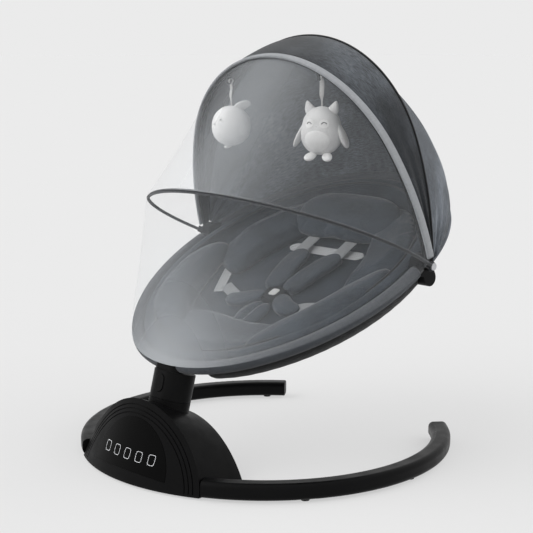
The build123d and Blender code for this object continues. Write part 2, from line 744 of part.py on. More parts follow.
# Swing bearing
bush_radius = SHAFT_RADIUS + RUNNING_GAP + BUSH_WALL
floor_cut = Plane(origin=(0, 0, PLATE_TOP), z_dir=(0, 0, 1))
with BuildPart() as shaft_carrier:
    add(shaft_bar(CARRIER_RADIUS, -CARRIER_RADIUS, LOWER_BUSH_TOP))
    with BuildSketch(POST_PLANE.offset(-CARRIER_RADIUS)):
        with Locations((0, -COIL_REACH)):
            Circle(COIL_RADIUS)
    extrude(amount=CARRIER_RADIUS + COIL_LOW)
    with Locations((0, RING_Y - POST_AHEAD - CARRIER_RADIUS / 2, PLATE_TOP)):
        Box(
            CARRIER_FOOT_WIDTH,
            CARRIER_FOOT_LENGTH,
            CARRIER_FOOT_THICKNESS,
            align=(Align.CENTER, Align.CENTER, Align.MIN),
        )
    split(bisect_by=floor_cut, keep=Keep.TOP)
    add(shaft_bar(bush_radius, LOWER_BUSH_TOP - LOWER_BUSH_LENGTH, LOWER_BUSH_TOP), mode=Mode.SUBTRACT)
    add(shaft_bar(SHAFT_RADIUS + 1, SHAFT_LOW - 2, LOWER_BUSH_TOP), mode=Mode.SUBTRACT)
save(shaft_carrier, "shaft_carrier")

with BuildPart() as lower_bush:
    add(shaft_bar(bush_radius, LOWER_BUSH_TOP - LOWER_BUSH_LENGTH, LOWER_BUSH_TOP))
    add(shaft_bar(bush_radius + BUSH_WALL, LOWER_BUSH_TOP, LOWER_BUSH_TOP + BUSH_WALL))
    add(shaft_bar(SHAFT_RADIUS + RUNNING_GAP, 0, 2 * LOWER_BUSH_TOP), mode=Mode.SUBTRACT)
save(lower_bush, "lower_bush")

with BuildPart() as upper_bush:
    add(shaft_bar(bush_radius, POST_SEAM - NECK_WEB, POST_SEAM))
    add(shaft_bar(SHAFT_RADIUS + RUNNING_GAP, 0, 2 * POST_SEAM), mode=Mode.SUBTRACT)
save(upper_bush, "upper_bush")

shaft_top = WEB_TOP + SHAFT_TOP_REACH
with BuildPart() as swing_shaft:
    add(shaft_bar(SHAFT_RADIUS, SHAFT_LOW, shaft_top))
save(swing_shaft, "swing_shaft")

# Magnet drive: a fixed coil under an arm on the shaft
with BuildPart() as drive_coil:
    with BuildSketch(POST_PLANE.offset(COIL_LOW)):
        with Locations((0, -COIL_REACH)):
            Circle(COIL_RADIUS)
            Circle(COIL_BORE, mode=Mode.SUBTRACT)
    extrude(amount=COIL_HEIGHT)
save(drive_coil, "drive_coil")

magnet_low = COIL_LOW + COIL_HEIGHT + MAGNET_GAP
arm_low = magnet_low + MAGNET_HEIGHT
with BuildPart() as magnet_arm:
    with BuildSketch(POST_PLANE.offset(arm_low)):
        Circle(ARM_HUB_RADIUS)
        with Locations((0, -COIL_REACH / 2)):
            Rectangle(ARM_WIDTH, COIL_REACH)
        with Locations((0, -COIL_REACH)):
            SlotOverall(ARM_WIDTH, 2 * MAGNET_RADIUS + 1)
        Circle(SHAFT_RADIUS, mode=Mode.SUBTRACT)
    extrude(amount=ARM_THICKNESS)
save(magnet_arm, "magnet_arm")

with BuildPart() as drive_magnets:
    with BuildSketch(POST_PLANE.offset(magnet_low)):
        with Locations((MAGNET_SPACING / 2, -COIL_REACH), (-MAGNET_SPACING / 2, -COIL_REACH)):
            Circle(MAGNET_RADIUS)
    extrude(amount=MAGNET_HEIGHT)
save(drive_magnets, "drive_magnets")

# Swing post, release button and spring
post_bore_width = POST_WIDTH - 2 * POST_WALL
post_bore_depth = POST_DEPTH - 2 * POST_WALL
with BuildPart() as swing_post:
    add(obround_bar(POST_WIDTH, POST_DEPTH, POST_SEAM + SEAM_GAP, POST_TOP))
    add(obround_bar(post_bore_width, post_bore_depth, WEB_TOP, POST_TOP), mode=Mode.SUBTRACT)
    add(shaft_bar(SHAFT_RADIUS, POST_SEAM, WEB_TOP), mode=Mode.SUBTRACT)
    with BuildSketch(BUTTON_PLANE):
        SlotOverall(BUTTON_HEIGHT + 2 * BUTTON_GAP, BUTTON_WIDTH + 2 * BUTTON_GAP, rotation=90)
    extrude(amount=-2 * POST_WALL, mode=Mode.SUBTRACT)
save(swing_post, "swing_post")

with BuildPart() as release_button:
    with BuildSketch(BUTTON_PLANE.offset(BUTTON_PROUD)):
        SlotOverall(BUTTON_HEIGHT, BUTTON_WIDTH, rotation=90)
    extrude(amount=-BUTTON_PROUD - BUTTON_FLANGE_BACK)
    fillet(release_button.faces().sort_by(Axis.Y)[0].edges(), BUTTON_PROUD / 2)
    with BuildSketch(BUTTON_PLANE.offset(-BUTTON_FLANGE_BACK)):
        SlotOverall(BUTTON_HEIGHT + 2 * BUTTON_FLANGE, BUTTON_WIDTH + 2 * BUTTON_FLANGE, rotation=90)
    extrude(amount=BUTTON_FLANGE)
save(release_button, "release_button")

with BuildPart() as release_spring:
    with BuildSketch(BUTTON_PLANE.offset(-BUTTON_FLANGE_BACK)):
        Circle(RELEASE_SPRING_RADIUS)
        Circle(RELEASE_SPRING_RADIUS - 1, mode=Mode.SUBTRACT)
    extrude(amount=-RELEASE_SPRING_LENGTH)
save(release_spring, "release_spring")


def rim_path(front, start):
    """Draws the front or the rear half of the rim, from the pivots."""
    if front:
        draw_arch(arch_points(RIM_HALF_WIDTH, RIM_FOOT, RIM_FULLNESS, RIM_WIDE, start))
    else:
        draw_arch(arch_points(RIM_HALF_WIDTH, RIM_HEAD, RIM_FULLNESS, -RIM_WIDE, start))


def rim_bar(front, start, radius):
    """Solid round bar along one half of the rim."""
    with BuildPart() as bar:
        with BuildLine(bow_plane(-SEAT_SLOPE if front else 180 - SEAT_SLOPE)) as path:
            rim_path(front, start)
        with BuildSketch(Plane(path.line ^ 0)):
            Circle(radius)
        sweep(path=path.line)
    return bar.part


# Seat frame, its saddle on the post, and the fabric roll on the rim
bolt_places = [(SADDLE_BOLT_X, -SADDLE_AHEAD), (-SADDLE_BOLT_X, -SADDLE_AHEAD)]


def saddle_bolt_holes():
    """Holes for the two bolts that hold the rim to its saddle."""
    with BuildSketch(POST_PLANE.offset(RIM_FOOT_LEVEL)) as holes:
        with Locations(*bolt_places):
            Circle(SADDLE_BOLT_RADIUS + RUNNING_GAP)
    extrude(holes.sketch, amount=-SADDLE_BOLT_LENGTH - RIM_TUBE_RADIUS, mode=Mode.SUBTRACT)


with BuildPart() as rim_tube_front:
    add(rim_bar(True, RIM_JOINT_GAP / 2, RIM_TUBE_RADIUS))
    add(rim_bar(True, RIM_JOINT_GAP / 2, RIM_TUBE_RADIUS - RIM_TUBE_WALL), mode=Mode.SUBTRACT)
    saddle_bolt_holes()
save(rim_tube_front, "rim_tube_front")

with BuildPart() as rim_tube_rear:
    add(rim_bar(False, RIM_JOINT_GAP / 2, RIM_TUBE_RADIUS))
    add(rim_bar(False, RIM_JOINT_GAP / 2, RIM_TUBE_RADIUS - RIM_TUBE_WALL), mode=Mode.SUBTRACT)
save(rim_tube_rear, "rim_tube_rear")

plug_width = post_bore_width - 2 * BUTTON_GAP
plug_depth = post_bore_depth - 2 * BUTTON_GAP
with BuildPart() as seat_stub:
    add(obround_bar(plug_width, plug_depth, WEB_TOP + BUTTON_GAP, POST_TOP))
    add(obround_bar(POST_WIDTH, POST_DEPTH, POST_TOP, POST_TOP + SADDLE_FLANGE))
    with BuildSketch(POST_PLANE.offset(POST_TOP)):
        with Locations((0, -SADDLE_AHEAD)):
            SlotOverall(SADDLE_WIDTH, SADDLE_DEPTH)
    extrude(amount=RIM_FOOT_LEVEL - POST_TOP)
    add(rim_bar(True, RIM_JOINT_GAP / 2, RIM_TUBE_RADIUS), mode=Mode.SUBTRACT)
    add(shaft_bar(SHAFT_RADIUS + BUTTON_GAP, POST_SEAM, shaft_top + 1), mode=Mode.SUBTRACT)
    with BuildSketch(BUTTON_PLANE):
        SlotOverall(BUTTON_HEIGHT + 3 * BUTTON_FLANGE, BUTTON_WIDTH + 3 * BUTTON_FLANGE, rotation=90)
    extrude(amount=-POCKET_DEPTH, mode=Mode.SUBTRACT)
    saddle_bolt_holes()
save(seat_stub, "seat_stub")

with BuildPart() as saddle_bolts:
    bolt_seat = POST_PLANE.offset(RIM_FOOT_LEVEL - RIM_TUBE_RADIUS / 2)
    with BuildSketch(bolt_seat):
        with Locations(*bolt_places):
            Circle(SADDLE_BOLT_RADIUS + 1)
    extrude(amount=SADDLE_BOLT_HEAD)
    with BuildSketch(bolt_seat):
        with Locations(*bolt_places):
            Circle(SADDLE_BOLT_RADIUS)
    extrude(amount=-SADDLE_BOLT_LENGTH)
save(saddle_bolts, "saddle_bolts")

with BuildPart() as rim_sleeve:
    add(rim_bar(True, SLEEVE_START, SLEEVE_RADIUS))
    add(rim_bar(True, SLEEVE_START, RIM_TUBE_RADIUS + SLIDE_GAP), mode=Mode.SUBTRACT)
    add(
        obround_bar(POST_WIDTH + SADDLE_ROOM, POST_DEPTH + SADDLE_ROOM, POST_TOP, RIM_FOOT_LEVEL),
        mode=Mode.SUBTRACT,
    )
save(rim_sleeve, "rim_sleeve")


# Pivot hubs on the rim, and the pins that the canopy turns on
hub_x = arch_points(RIM_HALF_WIDTH, RIM_FOOT, RIM_FULLNESS, RIM_WIDE, 0)[0][0]
hub_plane = Plane(origin=(hub_x, HINGE_Y, HINGE_HEIGHT), x_dir=SEAT_PLANE.y_dir, z_dir=(1, 0, 0))
pivot_x = hub_x + HUB_OUTER
FRONT_EYE_X = pivot_x + EYE_GAP + EYE_THICKNESS / 2
MID_EYE_X = FRONT_EYE_X + EYE_GAP + EYE_THICKNESS
HOOP_EYE_X = MID_EYE_X + EYE_GAP + EYE_THICKNESS
with BuildPart() as right_hub:
    with BuildSketch(hub_plane.offset(-HUB_INNER)):
        Circle(HUB_RADIUS)
        with Locations((0, -HUB_LOBE_DROP / 2)):
            SlotOverall(HUB_LOBE_DROP + 2 * HUB_LOBE_RADIUS, 2 * HUB_LOBE_RADIUS, rotation=90)
    extrude(amount=HUB_INNER + HUB_OUTER)
    add(rim_bar(True, RIM_JOINT_GAP / 2, RIM_TUBE_RADIUS), mode=Mode.SUBTRACT)
    add(rim_bar(False, RIM_JOINT_GAP / 2, RIM_TUBE_RADIUS), mode=Mode.SUBTRACT)
    with BuildSketch(hub_plane.offset(HUB_OUTER)):
        Circle(PIN_RADIUS)
    extrude(amount=-PIN_DEPTH, mode=Mode.SUBTRACT)
save(right_hub, "right_hub")

with BuildPart() as left_hub:
    mirror(right_hub.part, about=Plane.YZ)
save(left_hub, "left_hub")

pin_end = HOOP_EYE_X - hub_x + EYE_THICKNESS / 2 + EYE_GAP
with BuildPart() as right_pin:
    with BuildSketch(hub_plane.offset(HUB_OUTER - PIN_DEPTH)):
        Circle(PIN_RADIUS)
    extrude(amount=PIN_DEPTH - HUB_OUTER + pin_end)
    with BuildSketch(hub_plane.offset(pin_end)):
        Circle(PIN_HEAD_RADIUS)
    extrude(amount=PIN_HEAD)
with BuildPart() as pivot_pins:
    both_sides(right_pin.part)
save(pivot_pins, "pivot_pins")


def right_eye(opening, x):
    """Flat ring at the right end of a bow, round the pivot pin."""
    plane = Plane(
        origin=(x - EYE_THICKNESS / 2, HINGE_Y, HINGE_HEIGHT),
        x_dir=bow_plane(opening).y_dir,
        z_dir=(1, 0, 0),
    )
    with BuildPart() as eye:
        with BuildSketch(plane):
            Circle(EYE_RADIUS)
            with Locations((EYE_RADIUS, 0)):
                Rectangle(2 * EYE_RADIUS, BOW_WIDTH)
            Circle(PIN_RADIUS + RUNNING_GAP, mode=Mode.SUBTRACT)
        extrude(amount=EYE_THICKNESS)
    return eye.part


def bow_strip(opening, half_width, rise):
    """Flat bow bent over the seat, without its eyes."""
    with BuildPart() as strip:
        with BuildSketch(bow_plane(opening).offset(-BOW_WIDTH / 2)):
            with BuildLine():
                half = EYE_THICKNESS / 2
                inner = arch_points(half_width - half, rise - half, BOW_FULLNESS, 0, 2 * EYE_RADIUS)
                outer = arch_points(half_width + half, rise + half, BOW_FULLNESS, 0, 2 * EYE_RADIUS)
                draw_band(inner, outer)
            make_face()
        extrude(amount=BOW_WIDTH)
    return strip.part


def toy_peg_height(x):
    """Height of a toy's peg in the front bow's plane."""
    return arch_height(FRONT_EYE_X, FRONT_BOW_RISE, BOW_FULLNESS, x) - PEG_DROP


def toy_lug(x):
    """Lug under the front bow with the peg that a toy hangs on."""
    height = toy_peg_height(x)
    with BuildPart() as lug:
        with BuildSketch(bow_plane(FRONT_BOW_OPEN).offset(-LUG_DEPTH / 2)):
            with Locations((x, height - TOY_EYE_RADIUS)):
                Rectangle(LUG_WIDTH, PEG_DROP + TOY_EYE_RADIUS, align=(Align.CENTER, Align.MIN))
        extrude(amount=LUG_DEPTH)
        centre = bow_plane(FRONT_BOW_OPEN).from_local_coords((x, height, 0))
        with BuildSketch(Plane(origin=centre, x_dir=(0, 1, 0), z_dir=(1, 0, 0))):
            Circle(PEG_RADIUS)
        extrude(amount=LUG_WIDTH / 2 + TOY_EYE_GAP + TOY_EYE_WIDTH + TOY_EYE_GAP)
    return lug.part


# Canopy bows and the net's hoop
with BuildPart() as mid_bow:
    add(bow_strip(MID_BOW_OPEN, MID_EYE_X, MID_BOW_RISE))
    both_sides(right_eye(MID_BOW_OPEN, MID_EYE_X))
save(mid_bow, "mid_bow")

with BuildPart() as front_bow:
    add(bow_strip(FRONT_BOW_OPEN, FRONT_EYE_X, FRONT_BOW_RISE))
    both_sides(right_eye(FRONT_BOW_OPEN, FRONT_EYE_X))
    add(toy_lug(OWL_X))
    add(toy_lug(BIRD_X))
save(front_bow, "front_bow")

with BuildPart() as net_hoop:
    with BuildLine(bow_plane(HOOP_OPEN)) as hoop_path:
        draw_arch(
            arch_points(HOOP_HALF_WIDTH, HOOP_REACH, HOOP_FULLNESS, HOOP_WIDE, EYE_RADIUS)
        )
    with BuildSketch(Plane(hoop_path.line ^ 0)):
        Circle(HOOP_RADIUS)
    sweep(path=hoop_path.line)
    both_sides(right_eye(HOOP_OPEN, HOOP_EYE_X))
save(net_hoop, "net_hoop")


def bowl(inset, top, floor):
    """Deep oval dish that fills the rim, drawn in by an inset, from its top down to its floor."""
    with BuildPart() as dish:
        for step in range(BOWL_STEPS):
            share = BOWL_FLOOR * step / (BOWL_STEPS - 1)
            scale = (1 - share**BOWL_POWER) ** (1 / BOWL_POWER)
            level = top + (floor - top) * step / (BOWL_STEPS - 1)
            with BuildSketch(SEAT_PLANE.offset(level)):
                with BuildLine():
                    draw_oval(
                        scale * (RIM_HALF_WIDTH - inset),
                        scale * (RIM_FOOT - RIM_WIDE - inset),
                        scale * (RIM_HEAD + RIM_WIDE - inset),
                        RIM_FULLNESS,
                        -RIM_WIDE,
                    )
                make_face()
        loft()
    return dish.part


def saddle_notch():
    """Room for the saddle at the foot of the seat."""
    with BuildPart() as notch:
        with BuildSketch(POST_PLANE.offset(POST_TOP)):
            with Locations((0, -SADDLE_AHEAD)):
                SlotOverall(SADDLE_WIDTH + SADDLE_ROOM, SADDLE_DEPTH + SADDLE_ROOM)
        extrude(amount=RIM_FOOT_LEVEL - POST_TOP)
    return notch.part


# Sling, plush seat pad with its sewn channel, pillow and side bolsters
sling_top = -SLEEVE_RADIUS - CLOTH_GAP
sling_floor = sling_top - SLING_DEPTH
with BuildPart() as seat_sling:
    add(bowl(SLING_INSET, sling_top, sling_floor))
    inner_inset = SLING_INSET + SLING_THICKNESS
    add(bowl(inner_inset, sling_top, sling_floor + SLING_THICKNESS), mode=Mode.SUBTRACT)
    room_width = POST_WIDTH + SADDLE_ROOM
    room_depth = POST_DEPTH + SADDLE_ROOM
    post_room = obround_bar(room_width, room_depth, POST_SEAM, RIM_FOOT_LEVEL)
    add(post_room, mode=Mode.SUBTRACT)
    add(right_hub.part, mode=Mode.SUBTRACT)
    add(left_hub.part, mode=Mode.SUBTRACT)
save(seat_sling, "seat_sling")

pad_low = sling_floor + SLING_THICKNESS + CLOTH_GAP
pad_floor = pad_low + PAD_FLOOR_THICKNESS
pad_inner = PAD_EDGE_INSET + PAD_EDGE_WIDTH
with BuildPart() as seat_pad:
    add(bowl(PAD_EDGE_INSET, PAD_EDGE_HEIGHT, pad_low))
    add(bowl(pad_inner, PAD_EDGE_HEIGHT, pad_floor), mode=Mode.SUBTRACT)
    pad_top = seat_pad.faces().filter_by(GeomType.PLANE).sort_by(Axis(SEAT_PLANE.origin, SEAT_PLANE.z_dir))
    fillet(pad_top[-1].edges(), PAD_EDGE_ROUND)
    with BuildSketch(SEAT_PLANE.offset(PAD_CHANNEL_LEVEL)):
        for inset, mode in ((0, Mode.ADD), (PAD_CHANNEL_WIDTH, Mode.SUBTRACT)):
            channel = pad_inner + PAD_CHANNEL_INSET + inset
            with BuildLine():
                draw_oval(
                    RIM_HALF_WIDTH - channel,
                    RIM_FOOT - RIM_WIDE - channel,
                    RIM_HEAD + RIM_WIDE - channel,
                    RIM_FULLNESS,
                    -RIM_WIDE,
                )
            make_face(mode=mode)
    extrude(amount=PAD_EDGE_HEIGHT - PAD_CHANNEL_LEVEL, mode=Mode.SUBTRACT)
    add(saddle_notch(), mode=Mode.SUBTRACT)
save(seat_pad, "seat_pad")

pillow_plane = Plane(
    origin=SEAT_PLANE.from_local_coords((0, PILLOW_AHEAD, PILLOW_HEIGHT)),
    x_dir=(1, 0, 0),
    z_dir=SEAT_PLANE.z_dir.rotate(Axis.X, PILLOW_TILT),
)
with BuildPart() as head_pillow:
    for level, scale in PILLOW_SECTIONS:
        with BuildSketch(pillow_plane.offset(level * PILLOW_THICKNESS)):
            with BuildLine():
                draw_oval(
                    scale * PILLOW_HALF_WIDTH,
                    scale * PILLOW_LENGTH / 2,
                    scale * PILLOW_LENGTH / 2,
                    PILLOW_FULLNESS,
                    0,
                )
            make_face()
    loft()
    add(seat_pad.part, mode=Mode.SUBTRACT)
save(head_pillow, "head_pillow")

bolster_width = RIM_HALF_WIDTH - BOLSTER_INSET
bolster_front = RIM_FOOT - RIM_WIDE - BOLSTER_INSET
with BuildPart() as right_bolster:
    for step in range(BOLSTER_STEPS):
        share = step / (BOLSTER_STEPS - 1)
        turn = radians(BOLSTER_START_ANGLE + share * (BOLSTER_END_ANGLE - BOLSTER_START_ANGLE))
        swell = BOLSTER_TIP + (BOLSTER_RADIUS - BOLSTER_TIP) * sin(radians(180 * share))
        place = (bolster_width * cos(turn), -RIM_WIDE - bolster_front * sin(turn), BOLSTER_HEIGHT)
        heading = (-bolster_width * sin(turn), -bolster_front * cos(turn), 0)
        across = Plane(
            origin=SEAT_PLANE.from_local_coords(place),
            x_dir=SEAT_PLANE.z_dir,
            z_dir=SEAT_PLANE.from_local_coords(heading) - SEAT_PLANE.origin,
        )
        with BuildSketch(across):
            Circle(swell)
    loft()
    add(seat_pad.part, mode=Mode.SUBTRACT)
save(right_bolster, "right_bolster")

with BuildPart() as left_bolster:
    mirror(right_bolster.part, about=Plane.YZ)
save(left_bolster, "left_bolster")

# Harness, lying on the seat pad's floor
harness_plane = SEAT_PLANE.offset(pad_floor + HARNESS_GAP)
with BuildPart() as right_shoulder_strap:
    with BuildSketch(harness_plane):
        Polygon(
            (SHOULDER_TOP_X - STRAP_WIDTH / 2, SHOULDER_TOP_Y),
            (SHOULDER_TOP_X + STRAP_WIDTH / 2, SHOULDER_TOP_Y),
            (SHOULDER_LOW_X + STRAP_WIDTH / 2, SHOULDER_LOW_Y),
            (SHOULDER_LOW_X - STRAP_WIDTH / 2, SHOULDER_LOW_Y),
            align=None,
        )
    extrude(amount=STRAP_THICKNESS)
save(right_shoulder_strap, "right_shoulder_strap")

with BuildPart() as left_shoulder_strap:
    mirror(right_shoulder_strap.part, about=Plane.YZ)
save(left_shoulder_strap, "left_shoulder_strap")

adjuster_x = (SHOULDER_TOP_X + SHOULDER_LOW_X) / 2
adjuster_y = (SHOULDER_TOP_Y + SHOULDER_LOW_Y) / 2
with BuildPart() as strap_adjusters:
    with BuildSketch(harness_plane.offset(STRAP_THICKNESS)):
        with Locations((adjuster_x, adjuster_y), (-adjuster_x, adjuster_y)):
            RectangleRounded(ADJUSTER_WIDTH, ADJUSTER_LENGTH, ADJUSTER_LENGTH / 4)
    extrude(amount=ADJUSTER_HEIGHT)
save(strap_adjusters, "strap_adjusters")

waist_start = BUCKLE_WIDTH / 2 + HARNESS_GAP
with BuildPart() as waist_straps:
    with BuildSketch(harness_plane):
        waist_length = WAIST_REACH - waist_start
        middle = waist_start + waist_length / 2
        with Locations((middle, BUCKLE_Y), (-middle, BUCKLE_Y)):
            Rectangle(waist_length, WAIST_WIDTH)
    extrude(amount=WAIST_THICKNESS)
save(waist_straps, "waist_straps")

buckle_top = harness_plane.offset(BUCKLE_HEIGHT)
with BuildPart() as buckle_body:
    with BuildSketch(harness_plane):
        with Locations((0, BUCKLE_Y)):
            RectangleRounded(BUCKLE_WIDTH, BUCKLE_LENGTH, 2 * BUCKLE_ROUND)
    extrude(amount=BUCKLE_HEIGHT)
    buckle_faces = buckle_body.faces().sort_by(Axis(SEAT_PLANE.origin, SEAT_PLANE.z_dir))
    fillet(buckle_faces[-1].edges(), BUCKLE_ROUND / 2)
    with BuildSketch(buckle_top):
        with Locations((0, BUCKLE_Y)):
            side = BUCKLE_BUTTON + 2 * HARNESS_GAP
            RectangleRounded(side, side, BUCKLE_ROUND)
    pocket = BUCKLE_BUTTON_HEIGHT - BUCKLE_BUTTON_PROUD + BUCKLE_BUTTON_TRAVEL + HARNESS_GAP
    extrude(amount=-pocket, mode=Mode.SUBTRACT)
save(buckle_body, "buckle_body")

with BuildPart() as buckle_button:
    with BuildSketch(buckle_top.offset(BUCKLE_BUTTON_PROUD)):
        with Locations((0, BUCKLE_Y)):
            RectangleRounded(BUCKLE_BUTTON, BUCKLE_BUTTON, BUCKLE_ROUND - HARNESS_GAP)
    extrude(amount=-BUCKLE_BUTTON_HEIGHT)
save(buckle_button, "buckle_button")

with BuildPart() as crotch_pad:
    with BuildSketch(harness_plane):
        crotch_y = BUCKLE_Y - BUCKLE_LENGTH / 2 - HARNESS_GAP - CROTCH_LENGTH / 2
        with BuildLine():
            draw_oval(CROTCH_WIDTH / 2, CROTCH_LENGTH / 2, CROTCH_LENGTH / 2, PILLOW_FULLNESS, crotch_y)
        make_face()
    extrude(amount=CROTCH_HEIGHT)
    crotch_faces = crotch_pad.faces().sort_by(Axis(SEAT_PLANE.origin, SEAT_PLANE.z_dir))
    fillet(crotch_faces[-1].edges(), CROTCH_HEIGHT / 2)
    add(seat_pad.part, mode=Mode.SUBTRACT)
save(crotch_pad, "crotch_pad")


def cloth_band(opening, half_width, rise, thickness, fullness, wide=0.0):
    """Cut across a cloth or net panel in the plane of a bow."""
    with BuildSketch(bow_plane(opening)) as band:
        with BuildLine():
            inner = arch_points(half_width, rise, fullness, wide, CANOPY_START)
            outer = arch_points(half_width + thickness, rise + thickness, fullness, wide, CANOPY_START)
            draw_band(inner, outer)
        make_face()
    return band.sketch


# Canopy cloth over the bows
canopy_width = MID_EYE_X + EYE_THICKNESS / 2 + CANOPY_GAP
front_rise = FRONT_BOW_RISE + EYE_THICKNESS / 2 + CANOPY_GAP
mid_rise = MID_BOW_RISE + EYE_THICKNESS / 2 + CANOPY_GAP
head_rise = HEAD_REACH - CANOPY_THICKNESS
head_width = RIM_HALF_WIDTH + SLEEVE_RADIUS + CLOTH_GAP
canopy_front_open = FRONT_BOW_OPEN - CANOPY_FRONT_LAP
with BuildPart() as canopy_panel:
    stations = (
        (canopy_front_open, front_rise),
        (MID_BOW_OPEN - CANOPY_BOW_LAP, mid_rise),
        (MID_BOW_OPEN - CANOPY_SEAM_LAP, mid_rise),
    )
    bands = [
        cloth_band(opening, canopy_width, rise, CANOPY_THICKNESS, BOW_FULLNESS)
        for opening, rise in stations
    ]
    loft(bands, ruled=True)
save(canopy_panel, "canopy_panel")

with BuildPart() as rear_hood:
    hood_bands = [
        cloth_band(
            MID_BOW_OPEN + CANOPY_SEAM_LAP, canopy_width, mid_rise, CANOPY_THICKNESS, BOW_FULLNESS
        )
    ]
    hood_start = MID_BOW_OPEN + CANOPY_BOW_LAP
    for step in range(HOOD_STEPS):
        share = step / (HOOD_STEPS - 1)
        turned = share**HOOD_TURN_IN
        opening = hood_start + share * (HOOD_END_OPEN - hood_start)
        rise = mid_rise - (mid_rise - head_rise) * share**HOOD_FALL
        half_width = canopy_width + (head_width - canopy_width) * turned
        fullness = BOW_FULLNESS + (RIM_FULLNESS - BOW_FULLNESS) * turned
        wide = -RIM_WIDE * turned
        hood_bands.append(cloth_band(opening, half_width, rise, CANOPY_THICKNESS, fullness, wide))
    loft(hood_bands, ruled=True)
save(rear_hood, "rear_hood")

# Net, tight from the front bow to the hoop and from the hoop to the rim
hoop_net_width = HOOP_HALF_WIDTH + HOOP_RADIUS + CLOTH_GAP
hoop_net_reach = HOOP_REACH + HOOP_RADIUS + CLOTH_GAP
with BuildPart() as net_upper:
    net_bands = [
        cloth_band(canopy_front_open - NET_LAP, canopy_width, front_rise, NET_THICKNESS, BOW_FULLNESS),
        cloth_band(
            HOOP_OPEN + NET_LAP, hoop_net_width, hoop_net_reach, NET_THICKNESS, HOOP_FULLNESS, HOOP_WIDE
        ),
    ]
    loft(net_bands, ruled=True)
save(net_upper, "net_upper")

with BuildPart() as net_lower:
    net_bands = [
        cloth_band(
            HOOP_OPEN - NET_LAP, hoop_net_width, hoop_net_reach, NET_THICKNESS, HOOP_FULLNESS, HOOP_WIDE
        ),
        cloth_band(
            NET_RIM_LIFT - SEAT_SLOPE,
            RIM_HALF_WIDTH + SLEEVE_RADIUS + NET_RIM_GAP,
            RIM_FOOT + SLEEVE_RADIUS,
            NET_THICKNESS,
            RIM_FULLNESS,
            RIM_WIDE,
        ),
    ]
    loft(net_bands, ruled=True)
save(net_lower, "net_lower")


def toy_origin(x):
    """Centre of the peg that a toy hangs on."""
    return bow_plane(FRONT_BOW_OPEN).from_local_coords((x, toy_peg_height(x), 0))


def toy_plane(x, turn, drop):
    """Upright plane below a toy's peg, turned to where the toy faces."""
    peg = toy_origin(x)
    side = LUG_WIDTH / 2 + TOY_EYE_GAP + TOY_STRAP_WIDTH / 2
    return Plane(
        origin=(peg.X + side, peg.Y, peg.Z - drop),
        x_dir=(cos(radians(turn)), sin(radians(turn)), 0),
        z_dir=(0, 0, 1),
    )


def toy_strap(x, length, body):
    """Eye and strap that a toy hangs by, trimmed by its body."""
    peg = toy_origin(x)
    eye_side = peg.X + LUG_WIDTH / 2 + TOY_EYE_GAP
    with BuildPart() as strap:
        with Locations(toy_plane(x, 0, TOY_EYE_RADIUS - TOY_STRAP_LAP).origin):
            Box(
                TOY_STRAP_WIDTH,
                TOY_STRAP_DEPTH,
                length,
                align=(Align.CENTER, Align.CENTER, Align.MAX),
            )
        with BuildSketch(Plane(origin=(eye_side, peg.Y, peg.Z), x_dir=(0, 1, 0), z_dir=(1, 0, 0))):
            Circle(TOY_EYE_RADIUS)
        extrude(amount=TOY_EYE_WIDTH)
        with BuildSketch(Plane(origin=(eye_side, peg.Y, peg.Z), x_dir=(0, 1, 0), z_dir=(1, 0, 0))):
            Circle(PEG_RADIUS + TOY_RUNNING_GAP)
        extrude(amount=TOY_EYE_WIDTH, mode=Mode.SUBTRACT)
        add(body, mode=Mode.SUBTRACT)
    return strap.part


# Owl toy
owl_plane = toy_plane(OWL_X, OWL_TURN, OWL_STRAP_LENGTH)
with BuildPart() as owl_body:
    add(egg(owl_plane, OWL_HEIGHT, OWL_RADIUS, OWL_BELLY))
    for side in (-1, 1):
        ear = owl_plane.from_local_coords((side * OWL_RADIUS / 2, 0, -OWL_HEIGHT / 4))
        with Locations(ear):
            Cone(
                OWL_EAR_RADIUS,
                OWL_EAR_RADIUS / 4,
                OWL_EAR_HEIGHT,
                align=(Align.CENTER, Align.CENTER, Align.MIN),
            )
save(owl_body, "owl_body")

with BuildPart() as owl_strap:
    add(toy_strap(OWL_X, OWL_STRAP_LENGTH, owl_body.part))
save(owl_strap, "owl_strap")


def owl_limb(side, foot):
    """A wing, or a foot, on one side of the owl, trimmed by its body."""
    if foot:
        across_share, back_share, level = OWL_FOOT_PLACE
        axis = owl_plane.y_dir
        size = (OWL_FOOT_LENGTH, OWL_FOOT_RADIUS)
    else:
        across_share, back_share, level = OWL_WING_PLACE
        axis = owl_plane.z_dir - owl_plane.x_dir * (OWL_WING_SPLAY * side)
        size = (OWL_WING_LENGTH, OWL_WING_RADIUS)
    place = (side * across_share * OWL_RADIUS, back_share * OWL_RADIUS, level * OWL_HEIGHT)
    across = owl_plane.x_dir if foot else owl_plane.y_dir
    plane = Plane(origin=owl_plane.from_local_coords(place), x_dir=across, z_dir=axis)
    with BuildPart() as limb:
        add(egg(plane, size[0], size[1]))
        add(owl_body.part, mode=Mode.SUBTRACT)
    return limb.part


for side, side_name in ((1, "right"), (-1, "left")):
    with BuildPart() as owl_wing:
        add(owl_limb(side, False))
    save(owl_wing, f"owl_{side_name}_wing")
    with BuildPart() as owl_foot:
        add(owl_limb(side, True))
    save(owl_foot, f"owl_{side_name}_foot")

# Bird toy
bird_plane = toy_plane(BIRD_X, BIRD_TURN, BIRD_STRAP_LENGTH)
with BuildPart() as bird_body:
    add(egg(bird_plane, BIRD_HEIGHT, BIRD_RADIUS, BIRD_BELLY))
save(bird_body, "bird_body")

with BuildPart() as bird_strap:
    add(toy_strap(BIRD_X, BIRD_STRAP_LENGTH, bird_body.part))
save(bird_strap, "bird_strap")

